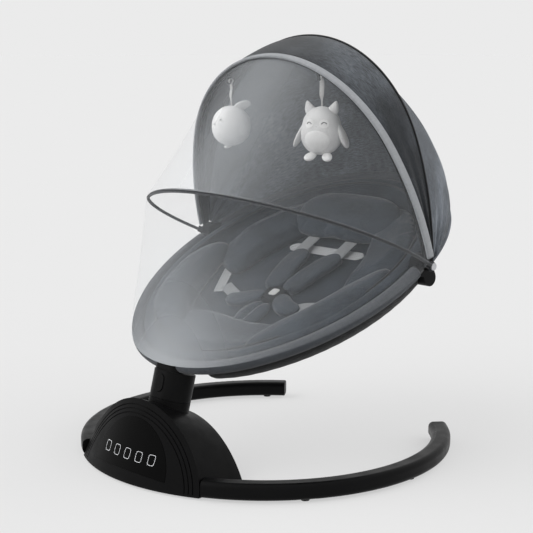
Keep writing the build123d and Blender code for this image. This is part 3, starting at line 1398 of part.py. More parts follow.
wing_across, wing_back, wing_level = BIRD_WING_PLACE
wing_root = (wing_across * BIRD_RADIUS, wing_back * BIRD_RADIUS, wing_level * BIRD_HEIGHT)
wing_plane = Plane(
    origin=bird_plane.from_local_coords(wing_root),
    x_dir=bird_plane.y_dir,
    z_dir=bird_plane.z_dir + bird_plane.x_dir * BIRD_WING_LEAN,
)
with BuildPart() as bird_wing:
    add(egg(wing_plane, BIRD_WING_LENGTH, BIRD_WING_RADIUS))
    add(bird_body.part, mode=Mode.SUBTRACT)
save(bird_wing, "bird_wing")
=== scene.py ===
"""Dresses the baby swing: cloth hood, net, padded seat, harness, toys, finishes, light and camera."""

from __future__ import annotations

import json
import logging
import math
from dataclasses import dataclass
from enum import Enum

import bpy
import numpy as np
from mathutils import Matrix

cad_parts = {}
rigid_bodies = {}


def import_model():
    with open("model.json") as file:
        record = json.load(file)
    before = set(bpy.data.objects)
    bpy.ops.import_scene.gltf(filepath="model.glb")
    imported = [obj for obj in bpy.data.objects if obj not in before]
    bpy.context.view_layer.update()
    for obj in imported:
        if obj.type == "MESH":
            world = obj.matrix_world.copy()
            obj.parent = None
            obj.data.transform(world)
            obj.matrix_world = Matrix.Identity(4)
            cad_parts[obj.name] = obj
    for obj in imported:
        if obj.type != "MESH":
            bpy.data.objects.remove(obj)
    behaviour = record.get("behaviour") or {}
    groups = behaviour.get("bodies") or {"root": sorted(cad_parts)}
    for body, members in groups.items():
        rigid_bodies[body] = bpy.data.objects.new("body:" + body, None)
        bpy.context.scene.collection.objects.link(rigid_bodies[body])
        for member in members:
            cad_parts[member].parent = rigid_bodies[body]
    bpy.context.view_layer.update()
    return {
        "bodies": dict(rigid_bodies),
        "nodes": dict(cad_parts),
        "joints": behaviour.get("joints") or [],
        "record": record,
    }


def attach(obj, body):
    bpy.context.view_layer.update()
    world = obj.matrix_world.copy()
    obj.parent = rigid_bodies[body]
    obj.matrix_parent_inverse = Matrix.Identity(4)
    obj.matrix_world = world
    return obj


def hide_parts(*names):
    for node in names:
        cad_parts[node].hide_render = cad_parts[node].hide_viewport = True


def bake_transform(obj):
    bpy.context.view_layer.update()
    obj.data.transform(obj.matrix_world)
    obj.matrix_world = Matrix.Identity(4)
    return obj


LOG = logging.getLogger("baby_swing")
Array = np.ndarray
Colour = tuple[float, float, float]
WHITE = (1.0, 1.0, 1.0, 1.0)

# From the swing shaft's joint back to the middle of the floor ring, in metres
POST_AHEAD = 0.219

# The swing's sides are named as seen from the front, and the toys' sides as their own
SIDES = ((1, "right"), (-1, "left"))
TOY_SIDES = ((1, "left"), (-1, "right"))


class Body(Enum):
    """Moving bodies that pieces ride on."""

    BASE = "base"
    SWING = "swing"
    MID_BOW = "mid_bow"
    FRONT_BOW = "front_bow"
    NET_FRAME = "net_frame"
    OWL = "owl_toy"
    BIRD = "bird_toy"


class Space(Enum):
    """Where a pattern takes its coordinates from."""

    SURFACE = "UV"
    SOLID = "Object"


# Curves and meshes


@dataclass(frozen=True)
class Arch:
    """Arch of two side arcs and a crown arc, all tangent, in its own plane."""

    half_width: float
    rise: float
    fullness: float
    wide: float = 0.0
    start: float = 0.0

    def trace(self, count: int) -> Array:
        """Walks the arch at even steps: side arc, crown arc, then the mirrored side arc.

        Args:
            count: Number of points.

        Returns:
            Points as (count, 2), from the right foot over the crown to the left foot.
        """
        height = self.rise - self.wide
        tight = self.fullness * min(self.half_width, height)
        square = self.half_width**2 + height**2
        if height > self.half_width:
            top = tight
            side = (square - 2 * height * tight) / (2 * (self.half_width - tight))
        else:
            side = tight
            top = (square - 2 * self.half_width * tight) / (2 * (height - tight))
        centre = self.half_width - side
        join = math.atan2(abs(height - top), abs(centre))
        begin = math.asin((self.start - self.wide) / side)
        side_length = side * (join - begin)
        half_length = side_length + top * (math.pi / 2 - join)
        share = np.linspace(-1, 1, count)
        walk = (1 - np.abs(share)) * half_length
        on_side = walk < side_length
        turn = np.where(on_side, begin + walk / side, join + (walk - side_length) / top)
        radius = np.where(on_side, side, top)
        x = np.where(on_side, centre, 0.0) + radius * np.cos(turn)
        y = np.where(on_side, self.wide, self.rise - top) + radius * np.sin(turn)
        return np.stack((np.where(share > 0, -x, x), y), axis=1)


@dataclass(frozen=True)
class Oval:
    """Closed oval of two arches that share their widest line."""

    half_width: float
    front: float
    back: float
    fullness: float

    def trace(self, count: int) -> Array:
        """Walks the oval, the back arch first and then the front arch.

        Args:
            count: Number of points, shared by the two arches.

        Returns:
            Points as (count, 2), anticlockwise from the right.
        """
        half = count // 2
        back = Arch(self.half_width, self.back, self.fullness).trace(half + 1)[:-1]
        front = Arch(self.half_width, self.front, self.fullness).trace(half + 1)[:-1]
        return np.concatenate((back, -front))


@dataclass(frozen=True)
class Layout:
    """Places of the seat's slope and of the planes that the bows lie in."""

    hinge: tuple[float, float, float]
    slope_deg: float = 26.7

    def on_seat(self, x: Array, y: Array, z: Array) -> Array:
        """Turns seat places, across, up the slope and off it, into the shared frame."""
        turn = math.radians(self.slope_deg)
        x, y, z = np.broadcast_arrays(x, y, z)
        along = self.hinge[1] + y * math.cos(turn) - z * math.sin(turn)
        up = self.hinge[2] + y * math.sin(turn) + z * math.cos(turn)
        return np.stack((x, along, up), axis=-1)

    def on_bow(self, opening: Array, x: Array, y: Array) -> Array:
        """Turns places in a bow's plane, opened by degrees from level, into the shared frame."""
        turn = np.radians(opening)
        x, y, turn = np.broadcast_arrays(x, y, turn)
        return np.stack((x, self.hinge[1] - y * np.cos(turn), self.hinge[2] + y * np.sin(turn)), axis=-1)


def smooth_step(value: Array, low: float, high: float) -> Array:
    """Eases from 0 at low to 1 at high, as 3t^2 - 2t^3."""
    t = np.clip((value - low) / (high - low), 0, 1)
    return t * t * (3 - 2 * t)


def grid_uv(points: Array, wrap: bool) -> tuple[Array, Array]:
    """Measures a grid along its rows and columns, so that a weave keeps its real size.

    Args:
        points: Grid as (rows, columns, 3).
        wrap: Whether each row closes on itself.

    Returns:
        Distance along each row's columns and down the rows, in metres.
    """
    across = np.linalg.norm(np.diff(points, axis=1), axis=2)
    if wrap:
        closing = np.linalg.norm(points[:, :1] - points[:, -1:], axis=2)
        across = np.concatenate((across, closing), axis=1)
    widest = across[np.argmax(across.sum(axis=1))]
    down = np.linalg.norm(np.diff(points, axis=0), axis=2).mean(axis=1)
    return np.concatenate(([0.0], np.cumsum(widest))), np.concatenate(([0.0], np.cumsum(down)))


def grid_piece(name: str, points: Array, wrap: bool = False, capped: bool = False) -> bpy.types.Object:
    """Makes a mesh from a grid of points, with a UV map in metres.

    A closed grid is turned inside out if its signed volume, the sum of the triple products of its
    triangles over six, is negative.

    Args:
        name: The piece's name.
        points: Grid as (rows, columns, 3).
        wrap: Whether each row closes on itself.
        capped: Whether the first and last rows are closed by a face.

    Returns:
        The new object, at the origin.
    """
    rows, columns = points.shape[:2]
    index = np.arange(rows * columns).reshape(rows, columns)
    right = np.roll(index, -1, axis=1) if wrap else index[:, 1:]
    left = index if wrap else index[:, :-1]
    quads = np.stack((left[:-1], right[:-1], right[1:], left[1:]), axis=-1)
    u, v = grid_uv(points, wrap)
    steps = left.shape[1]
    corner_u = np.stack((u[:steps], u[1 : steps + 1], u[1 : steps + 1], u[:steps]), axis=-1)
    corner_v = np.stack((v[:-1], v[:-1], v[1:], v[1:]), axis=-1)
    corner_u = np.broadcast_to(corner_u[None], quads.shape)
    corner_v = np.broadcast_to(corner_v[:, None], quads.shape)
    flat = points.reshape(-1, 3)
    quads = quads.reshape(-1, 4)
    uv = np.stack((corner_u, corner_v), axis=-1).reshape(-1, 4, 2)
    if wrap:
        a, b, c, d = (flat[quads[:, k]] for k in range(4))
        volume = np.einsum("ij,ij->", a, np.cross(b, c)) + np.einsum("ij,ij->", a, np.cross(c, d))
        if volume < 0:
            quads, uv = quads[:, ::-1], uv[:, ::-1]
    faces = quads.tolist()
    uv = uv.reshape(-1, 2)
    if capped:
        first, last = index[0].tolist(), index[-1].tolist()
        turned = quads[0][0] != index[0][0]
        faces += [first if turned else first[::-1], last[::-1] if turned else last]
        uv = np.concatenate((uv, np.zeros((2 * columns, 2))))
    mesh = bpy.data.meshes.new(name)
    mesh.from_pydata(flat.tolist(), [], faces)
    layer = mesh.uv_layers.new(name="cloth")
    layer.data.foreach_set("uv", np.ascontiguousarray(uv, dtype=np.float32).ravel())
    mesh.polygons.foreach_set("use_smooth", np.ones(len(faces), dtype=bool))
    mesh.update()
    piece = bpy.data.objects.new(name, mesh)
    bpy.context.scene.collection.objects.link(piece)
    return piece


def solid_piece(name: str, points: Array) -> bpy.types.Object:
    """Makes a closed piece from a grid whose rows are rings, with a face on both ends."""
    return grid_piece(name, points, wrap=True, capped=True)


def sweep(path: Array, profile: Array, side: Array, closed: bool = False) -> Array:
    """Carries a profile along a path.

    At each point the profile's first axis is the side direction made square to the path, and its
    second is the path's direction crossed with that.

    Args:
        path: Points as (n, 3).
        profile: Offsets as (m, 2), or (n, m, 2) where it changes along the path.
        side: One direction, or one for each point.
        closed: Whether the path closes on itself.

    Returns:
        Grid as (n, m, 3).
    """
    if closed:
        ahead = np.roll(path, -1, axis=0) - np.roll(path, 1, axis=0)
    else:
        ahead = np.gradient(path, axis=0)
    ahead /= np.linalg.norm(ahead, axis=1, keepdims=True)
    side = np.broadcast_to(side, path.shape)
    side = side - ahead * np.sum(side * ahead, axis=1, keepdims=True)
    side = side / np.linalg.norm(side, axis=1, keepdims=True)
    over = np.cross(ahead, side)
    profile = np.broadcast_to(profile, (len(path), *profile.shape[-2:]))
    return path[:, None] + profile[..., :1] * side[:, None] + profile[..., 1:] * over[:, None]


def ring(count: int, width: float, height: float, power: float = 2.0) -> Array:
    """Rounded section |x/width|^power + |y/height|^power = 1, as (count, 2)."""
    turn = np.linspace(0, 2 * np.pi, count, endpoint=False)
    unit = np.stack((np.cos(turn), np.sin(turn)), axis=1)
    return (width, height) * np.sign(unit) * np.abs(unit) ** (2 / power)


def stretched(unit: Array, first: Array | float, second: Array | float) -> Array:
    """Scales a unit section's two axes by their sizes at each point of a path, as (n, m, 2)."""
    return unit[None] * np.stack(np.broadcast_arrays(first, second), axis=-1)[:, None]


def rounded_ends(share: Array, sharpness: float = 2.0) -> Array:
    """Swelling that rises from 0 at both ends to 1: (1 - |2t - 1|^p)^(1/2)."""
    return np.sqrt(np.clip(1 - np.abs(2 * share - 1) ** sharpness, 0, 1))


def thicken(piece: bpy.types.Object, thickness: float) -> None:
    """Gives a cloth sheet its thickness, inwards from its face."""
    wall = piece.modifiers.new("thickness", "SOLIDIFY")
    wall.thickness = thickness
    wall.offset = -1


def soften(piece: bpy.types.Object) -> None:
    """Rounds a piece with one step of a subdivision surface, the same in view and render."""
    rounding = piece.modifiers.new("rounding", "SUBSURF")
    rounding.levels = 1
    rounding.render_levels = 1
    rounding.use_limit_surface = False


def coordinates(mesh: bpy.types.Mesh) -> Array:
    """Reads a mesh's vertices as (n, 3)."""
    values = np.empty(3 * len(mesh.vertices), dtype=np.float32)
    mesh.vertices.foreach_get("co", values)
    return values.reshape(-1, 3).astype(float)


@dataclass(frozen=True)
class Stuffing:
    """Cloth simulation that swells a sewn cover over its filling."""

    voxel: float
    reach: float
    pressure: float = 4.0
    quality: int = 5
    frames: int = 20

    def fill(self, piece: bpy.types.Object) -> None:
        """Remeshes a cover, inflates it and keeps each point within reach of where it was.

        Args:
            piece: The closed cover, made a little small.
        """
        bpy.context.view_layer.objects.active = piece
        skin = piece.modifiers.new("skin", "REMESH")
        skin.mode = "VOXEL"
        skin.voxel_size = self.voxel
        skin.use_smooth_shade = True
        bpy.ops.object.modifier_apply(modifier=skin.name)
        before = coordinates(piece.data)
        cloth = piece.modifiers.new("cloth", "CLOTH")
        cloth.settings.use_pressure = True
        cloth.settings.uniform_pressure_force = self.pressure
        cloth.settings.effector_weights.gravity = 0
        cloth.settings.quality = self.quality
        scene = bpy.context.scene
        for frame in range(1, self.frames + 1):
            scene.frame_set(frame)
        graph = bpy.context.evaluated_depsgraph_get()
        after = coordinates(piece.evaluated_get(graph).data)
        piece.modifiers.remove(cloth)
        scene.frame_set(1)
        moved = after - before
        length = np.linalg.norm(moved, axis=1, keepdims=True)
        held = before + moved * np.minimum(1, self.reach / np.maximum(length, 1e-9))
        piece.data.vertices.foreach_set("co", held.astype(np.float32).ravel())
        piece.data.update()
        soften(piece)


CUSHION_FILL = Stuffing(0.005, 0.004)
PILLOW_FILL = Stuffing(0.0045, 0.004)
PETAL_FILL = Stuffing(0.003, 0.0015)
TOY_FILL = Stuffing(0.0025, 0.0014)


# Finishes


class Nodes:
    """Node tree that is built up one node at a time."""

    def __init__(self, tree: bpy.types.NodeTree) -> None:
        """Takes the tree to build in."""
        self.tree = tree

    def add(self, kind: str, inputs: dict | None = None, **settings: object) -> bpy.types.Node:
        """Adds a node.

        Args:
            kind: The node's type.
            inputs: Values or sockets by input name or index.
            settings: The node's own settings.

        Returns:
            The new node.
        """
        node = self.tree.nodes.new(kind)
        for key, value in settings.items():
            setattr(node, key, value)
        for key, value in (inputs or {}).items():
            if isinstance(value, bpy.types.NodeSocket):
                self.tree.links.new(value, node.inputs[key])
            else:
                node.inputs[key].default_value = value
        return node

    def sums(self, kind: str, a: object, b: object = 0.0, c: object = 0.0) -> bpy.types.NodeSocket:
        """One step of arithmetic."""
        return self.add("ShaderNodeMath", {0: a, 1: b, 2: c}, operation=kind).outputs[0]

    def looked_at(self) -> bpy.types.NodeSocket:
        """Tells the rays of the camera, of gloss and of clear material from those that carry light."""
        rays = self.add("ShaderNodeLightPath").outputs
        clear = self.sums("MAXIMUM", rays["Is Glossy Ray"], rays["Is Transmission Ray"])
        return self.sums("MAXIMUM", rays["Is Camera Ray"], clear)


class Graph(Nodes):
    """Node tree of one material, around its principled shader."""

    def __init__(self, name: str, **sockets: float | tuple) -> None:
        """Starts a material and sets the shader's own sockets.

        Args:
            name: The material's name.
            sockets: Values by socket name, with underscores for spaces.
        """
        self.material = bpy.data.materials.new(name)
        self.material.use_nodes = True
        super().__init__(self.material.node_tree)
        self.shader = self.tree.nodes["Principled BSDF"]
        for key, value in sockets.items():
            self.shader.inputs[key.replace("_", " ")].default_value = value

    def place(self, space: Space, scale: tuple[float, float, float] = (1, 1, 1)) -> bpy.types.NodeSocket:
        """Gives coordinates in metres, stretched by a scale."""
        source = self.add("ShaderNodeTexCoord").outputs[space.value]
        return self.add("ShaderNodeMapping", {"Vector": source, "Scale": scale}).outputs["Vector"]

    def noise(self, where: bpy.types.NodeSocket, scale: float, detail: float = 3.0) -> bpy.types.NodeSocket:
        """Cloudy variation, about 0.5."""
        inputs = {"Vector": where, "Scale": scale, "Detail": detail}
        return self.add("ShaderNodeTexNoise", inputs).outputs["Fac"]

    def remap(self, value: object, low: float, high: float, to: tuple[float, float]) -> bpy.types.NodeSocket:
        """Maps a range onto another and clamps it."""
        inputs = {"Value": value, "From Min": low, "From Max": high, "To Min": to[0], "To Max": to[1]}
        return self.add("ShaderNodeMapRange", inputs).outputs["Result"]

    def blend(self, share: object, a: object, b: object) -> bpy.types.NodeSocket:
        """Mixes two colours."""
        inputs = {0: share, 6: opaque(a), 7: opaque(b)}
        return self.add("ShaderNodeMix", inputs, data_type="RGBA").outputs[2]

    def colour(self, socket: bpy.types.NodeSocket) -> None:
        """Feeds the base colour."""
        self.tree.links.new(socket, self.shader.inputs["Base Color"])

    def roughness(self, socket: bpy.types.NodeSocket) -> None:
        """Feeds the roughness."""
        self.tree.links.new(socket, self.shader.inputs["Roughness"])

    def relief(self, height: bpy.types.NodeSocket, distance: float, strength: float = 1.0) -> None:
        """Feeds the bump, with the relief's height in metres."""
        bump = self.add("ShaderNodeBump", {"Height": height, "Distance": distance, "Strength": strength})
        self.tree.links.new(bump.outputs["Normal"], self.shader.inputs["Normal"])


def opaque(value: object) -> object:
    """Adds full opacity to a plain colour and leaves a socket as it is."""
    return (*value, 1.0) if isinstance(value, tuple) and len(value) == 3 else value


def shade(colour: Colour, factor: float) -> Colour:
    """Lightens or darkens a colour."""
    return tuple(min(1.0, channel * factor) for channel in colour)


@dataclass(frozen=True)
class Moulding:
    """Moulded plastic, rubber or paint: a fine grain, cloudy gloss and a little mottling."""

    name: str
    colour: Colour
    gloss: tuple[float, float]
    grain: float = 1500.0
    depth: float = 0.00005
    mottling: float = 0.2
    coat: float = 0.0
    specular: float = 0.5

    def make(self) -> bpy.types.Material:
        """Builds the material."""
        graph = Graph(self.name, Coat_Weight=self.coat, Coat_Roughness=0.12, Specular_IOR_Level=self.specular)
        where = graph.place(Space.SOLID)
        cloud = graph.noise(where, 16.0, 5.0)
        dark, light = shade(self.colour, 1 - self.mottling), shade(self.colour, 1 + self.mottling)
        graph.colour(graph.blend(graph.remap(cloud, 0.3, 0.7, (0, 1)), dark, light))
        graph.roughness(graph.remap(graph.noise(where, 45.0, 6.0), 0.3, 0.7, self.gloss))
        graph.relief(graph.noise(where, self.grain, 2.0), self.depth)
        return graph.material


@dataclass(frozen=True)
class Plating:
    """Bare or plated metal with fine lines along one direction."""

    name: str
    colour: Colour
    gloss: tuple[float, float]
    lines: tuple[float, float, float] = (60.0, 60.0, 900.0)

    def make(self) -> bpy.types.Material:
        """Builds the material."""
        graph = Graph(self.name, Metallic=1.0)
        streak = graph.noise(graph.place(Space.SOLID, self.lines), 1.0, 4.0)
        graph.colour(graph.blend(streak, shade(self.colour, 0.82), shade(self.colour, 1.1)))
        graph.roughness(graph.remap(streak, 0.3, 0.7, self.gloss))
        graph.relief(streak, 0.00002)
        return graph.material


@dataclass(frozen=True)
class Weave:
    """Woven cloth: threads over and under, melange yarn, soft creases and any rows of stitches."""

    name: str
    warp: Colour
    weft: Colour
    pitch: float
    melange: float = 0.35
    creases: float = 0.0006
    sheen: float = 0.25
    # Strength of the darker random patches: partly the cloth's own mottle, partly painted shade.
    mottle_and_shade: float = 0.0
    stitches: tuple[float, ...] = ()
    thread: Colour = (0.4, 0.4, 0.41)
    stitch_half_width: float = 0.0006
    stitch_step: float = 0.0045
    stitch_share: float = 0.68

    def make(self) -> bpy.types.Material:
        """Builds the material."""
        graph = Graph(
            self.name, Sheen_Weight=self.sheen, Sheen_Roughness=0.45, Roughness=0.9, Specular_IOR_Level=0.2
        )
        where = graph.place(Space.SURFACE)
        axes = graph.add("ShaderNodeSeparateXYZ", {"Vector": where}).outputs
        turns = math.pi / self.pitch
        waves = [graph.sums("SINE", graph.sums("MULTIPLY", axes[k], turns)) for k in (0, 1)]
        lift = [graph.sums("ABSOLUTE", wave) for wave in waves]
        over = graph.add("ShaderNodeTexChecker", {"Vector": where, "Scale": 1 / self.pitch}).outputs["Fac"]
        height = graph.add("ShaderNodeMix", {0: over, 2: lift[0], 3: lift[1]}).outputs[0]
        yarn = graph.noise(graph.place(Space.SURFACE, (90.0, 700.0, 1.0)), 1.0, 3.0)
        cloud = graph.noise(where, 22.0, 4.0)
        base = graph.blend(over, self.warp, self.weft)
        dark = graph.blend(self.melange, base, (0.0, 0.0, 0.0))
        mixed = graph.sums("ADD", graph.sums("MULTIPLY", yarn, 0.7), graph.sums("MULTIPLY", cloud, 0.3))
        tone = graph.remap(mixed, 0.36, 0.62, (0, 1))
        colour = graph.blend(tone, dark, base)
        # Darker patches at random places in the cloth, partly its own mottle and partly painted shade: they
        # are made stronger on the visor to darken it like the shade on its crest.
        if self.mottle_and_shade:
            mottle_cloud = graph.noise(graph.place(Space.SURFACE, (5.0, 9.0, 1.0)), 1.0, 2.5)
            mottle_and_shade_share = graph.remap(mottle_cloud, 0.44, 0.58, (self.mottle_and_shade, 0.0))
            colour = graph.blend(mottle_and_shade_share, colour, shade(self.warp, 0.12))
        folds = graph.sums("MULTIPLY", graph.noise(where, 14.0, 3.0), self.creases / (0.25 * self.pitch))
        relief = graph.sums("ADD", height, folds)
        for row in self.stitches:
            away = graph.sums("ABSOLUTE", graph.sums("SUBTRACT", axes[0], row))
            near = graph.sums("LESS_THAN", away, self.stitch_half_width)
            step = graph.sums("FRACT", graph.sums("DIVIDE", axes[1], self.stitch_step))
            dash = graph.sums("LESS_THAN", step, self.stitch_share)
            mask = graph.sums("MULTIPLY", near, dash)
            colour = graph.blend(mask, colour, self.thread)
            relief = graph.sums("ADD", relief, graph.sums("MULTIPLY", mask, 2.0))
        graph.colour(colour)
        graph.relief(relief, 0.25 * self.pitch)
        return graph.material


@dataclass(frozen=True)
class Plush:
    """Short pile: tufts that lean in patches, with a sheen and rubbed lighter places."""

    name: str
    colour: Colour
    pile: float = 0.0016
    depth: float = 0.0008
    sheen: float = 0.5
    rub: float = 0.35

    def make(self) -> bpy.types.Material:
        """Builds the material."""
        graph = Graph(
            self.name, Sheen_Weight=self.sheen, Sheen_Roughness=0.35, Roughness=0.95, Specular_IOR_Level=0.1
        )
        where = graph.place(Space.SOLID)
        tufts = graph.noise(where, 1 / self.pile, 2.0)
        lean = graph.noise(where, 26.0, 5.0)
        mixed = graph.sums("ADD", graph.sums("MULTIPLY", tufts, 0.55), graph.sums("MULTIPLY", lean, 0.45))
        tone = graph.remap(mixed, 0.38, 0.62, (0, 1))
        graph.colour(graph.blend(tone, shade(self.colour, 1 - self.rub), shade(self.colour, 1 + self.rub)))
        graph.relief(graph.sums("ADD", tufts, graph.sums("MULTIPLY", lean, 0.8)), self.depth)
        return graph.material


@dataclass(frozen=True)
class Netting:
    """Fine open net: threads both ways with clear gaps, drawn closer together in front and towards a hem."""

    name: str
    colour: Colour
    pitch: float = 0.0009
    thread: float = 0.3
    haze: tuple[float, float] = (0.035, 0.11)
    hem: tuple[float, float] = (0.0, 0.0)
    gathered: float = 0.0
    front: float = 1.0

    def make(self) -> bpy.types.Material:
        """Builds the material."""
        graph = Graph(self.name, Roughness=0.8, Sheen_Weight=0.6, Sheen_Roughness=0.5, Specular_IOR_Level=0.2)
        where = graph.place(Space.SURFACE)
        axes = graph.add("ShaderNodeSeparateXYZ", {"Vector": where}).outputs
        steps = [graph.sums("FRACT", graph.sums("DIVIDE", axes[k], self.pitch)) for k in (0, 1)]
        strands = [graph.sums("LESS_THAN", step, self.thread) for step in steps]
        mesh = graph.sums("MAXIMUM", strands[0], strands[1])
        graph.colour(graph.blend(mesh, shade(self.colour, 0.97), self.colour))
        alpha = graph.remap(mesh, 0.0, 1.0, self.haze)
        if self.gathered:
            near = graph.remap(axes[1], self.hem[0], self.hem[1], (0.0, 1.0))
            side = graph.add("ShaderNodeSeparateXYZ", {"Vector": graph.place(Space.SOLID)}).outputs["X"]
            aside = graph.sums("DIVIDE", side, self.front)
            ahead = graph.sums("EXPONENT", graph.sums("MULTIPLY", graph.sums("MULTIPLY", aside, aside), -1.0))
            drawn = graph.sums("MULTIPLY", graph.sums("POWER", near, 1.3), self.gathered)
            alpha = graph.sums("ADD", alpha, graph.sums("MULTIPLY", drawn, ahead))
        graph.tree.links.new(alpha, graph.shader.inputs["Alpha"])
        graph.relief(mesh, 0.0002, 0.4)
        return graph.material


class Wardrobe:
    """Every finish on the swing, made once and handed out by name."""

    FINISHES = (
        Moulding("leg_black", (0.003, 0.003, 0.0032), (0.28, 0.42), grain=900.0, specular=0.09),
        Moulding("housing_grey", (0.0036, 0.0036, 0.0038), (0.36, 0.50), grain=2200.0, specular=0.07),
        Moulding("black_plastic", (0.003, 0.003, 0.0032), (0.34, 0.50), grain=2000.0, specular=0.09),
        Moulding("panel_gloss", (0.002, 0.002, 0.002), (0.05, 0.11), grain=120.0, depth=0.000004,
                 specular=0.05),
        Moulding("key_ink", (0.75, 0.76, 0.78), (0.5, 0.65), grain=3000.0, mottling=0.05),
        Moulding("foot_rubber", (0.016, 0.016, 0.016), (0.75, 0.9), grain=1200.0, depth=0.0001),
        Moulding("pale_plastic", (0.62, 0.62, 0.61), (0.34, 0.48), mottling=0.06),
        Moulding("board_green", (0.02, 0.13, 0.05), (0.3, 0.5), grain=400.0),
        Moulding("eye_black", (0.012, 0.011, 0.011), (0.35, 0.55), grain=2500.0),
        Plating("zinc_steel", (0.55, 0.55, 0.57), (0.28, 0.42)),
        Plating("oiled_bronze", (0.50, 0.34, 0.15), (0.35, 0.5)),
        Plating("coil_copper", (0.60, 0.25, 0.11), (0.25, 0.4), (1400.0, 1400.0, 30.0)),
        Plating("nickel", (0.62, 0.60, 0.57), (0.12, 0.22)),
        Moulding("tube_black", (0.014, 0.014, 0.015), (0.32, 0.46), grain=700.0, coat=0.1),
        Weave("roll_cloth", (0.088, 0.096, 0.109), (0.069, 0.075, 0.085), 0.0011, melange=0.25),
        # The hood's and the visor's cloth are one canopy fabric at two strengths: the hood's copy is lighter,
        # painted light on the rear, and the visor's is darker, painted shade on the crest.
        Weave("hood_cloth", (0.375, 0.415, 0.470), (0.245, 0.273, 0.312), 0.0013, melange=0.7, creases=0.0016,
              mottle_and_shade=0.6),
        Weave("visor_cloth", (0.160, 0.178, 0.203), (0.100, 0.112, 0.128), 0.0013, melange=0.7,
              creases=0.0016, mottle_and_shade=0.85),
        Weave("binding_tape", (0.44, 0.457, 0.48), (0.38, 0.395, 0.415), 0.0012, melange=0.2, creases=0.0002,
              stitches=(0.0045, 0.0085), thread=(0.10, 0.105, 0.115)),
        Weave("seam_piping", (0.012, 0.012, 0.013), (0.018, 0.018, 0.02), 0.0008, melange=0.2,
              creases=0.0001),
        Weave("hoop_cover", (0.030, 0.032, 0.036), (0.022, 0.024, 0.027), 0.0008, melange=0.2,
              creases=0.0001),
        Weave("sling_cloth", (0.010, 0.010, 0.011), (0.016, 0.016, 0.017), 0.0016, melange=0.3,
              creases=0.001),
        Weave("strap_cover", (0.020, 0.022, 0.026), (0.028, 0.030, 0.034), 0.0010, creases=0.0006),
        Weave("pale_webbing", (0.38, 0.39, 0.40), (0.32, 0.33, 0.34), 0.0014, melange=0.15, creases=0.0003),
        Weave("ribbon", (0.66, 0.65, 0.63), (0.58, 0.57, 0.56), 0.0008, melange=0.15, creases=0.0004),
        Plush("liner_plush", (0.024, 0.031, 0.041), sheen=0.3),
        Plush("pillow_plush", (0.034, 0.042, 0.053), sheen=0.45),
        Plush("toy_white", (0.86, 0.855, 0.845), pile=0.0011, depth=0.0006, sheen=0.35, rub=0.08),
        Plush("toy_grey", (0.74, 0.735, 0.73), pile=0.0011, depth=0.0006, sheen=0.35, rub=0.1),
        Netting("net", (0.90, 0.94, 0.98), hem=(-1.0, -0.5), gathered=0.20, front=0.10),
        Netting("hem_net", (0.90, 0.94, 0.98), hem=(0.0, 0.25), gathered=0.62, front=0.12),
        Netting("vent_mesh", (0.62, 0.63, 0.64), pitch=0.0042, thread=0.45, haze=(0.12, 1.0)),
    )

    NODES = {
        "leg_black": ("right_leg", "left_leg"),
        "housing_grey": ("front_housing", "rear_housing"),
        "black_plastic": (
            "leg_caps", "leg_collars", "leg_spigots", "base_plate", "speaker", "power_jack", "shaft_carrier",
            "magnet_arm", "swing_post", "seat_stub", "release_button", "right_hub", "left_hub", "mid_bow",
            "front_bow", "buckle_body",
        ),
        "panel_gloss": ("control_panel",),
        "foot_rubber": ("rubber_feet",),
        "pale_plastic": ("buckle_button", "strap_adjusters"),
        "board_green": ("main_board",),
        "zinc_steel": ("base_screws", "swing_shaft", "release_spring", "saddle_bolts", "pivot_pins"),
        "oiled_bronze": ("lower_bush", "upper_bush"),
        "coil_copper": ("drive_coil",),
        "nickel": ("drive_magnets",),
        "tube_black": ("rim_tube_front", "rim_tube_rear"),
    }

    def __init__(self) -> None:
        """Builds every material."""
        self.made = {finish.name: finish.make() for finish in self.FINISHES}

    def dress(self, piece: bpy.types.Object, finish: str) -> None:
        """Puts one finish on a piece."""
        piece.data.materials.clear()
        piece.data.materials.append(self.made[finish])

    def dress_nodes(self, nodes: dict[str, bpy.types.Object]) -> None:
        """Puts the hard parts' finishes on the solids that stay showing."""
        for finish, names in self.NODES.items():
            for name in names:
                self.dress(nodes[name], finish)


@dataclass
class Maker:
    """What every sub-assembly needs: the layout and the finishes."""

    layout: Layout
    wardrobe: Wardrobe

    def fit(
        self, piece: bpy.types.Object, finish: str, slot: str, body: Body, *nodes: str
    ) -> bpy.types.Object:
        """Dresses a piece, lets it ride on a body and stand for any solids.

        Args:
            piece: The new piece.
            finish: Name of its finish.
            slot: Name of the record's material slot; not used.
            body: The body that it moves with.
            nodes: Solids that it replaces.

        Returns:
            The piece.
        """
        self.wardrobe.dress(piece, finish)
        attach(piece, body.value)
        if nodes:
            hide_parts(*nodes)
        LOG.info("made %s", piece.name)
        return piece

    def span(
        self, piece: bpy.types.Object, finish: str, slot: str, node: str, bodies: tuple[Body, Body],
        start: Array, end: Array,
    ) -> None:
        """Dresses a piece that stands for a solid and bakes its transform into its mesh.

        Args:
            piece: The new piece.
            finish: Name of its finish.
            slot: Name of the record's material slot; not used.
            node: The solid that it replaces.
            bodies: The two bodies; not used.
            start: Where it leaves the first body; not used.
            end: Where it joins the second; not used.
        """
        self.wardrobe.dress(piece, finish)
        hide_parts(node)
        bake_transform(piece)
        LOG.info("made %s", piece.name)


# Sub-assemblies


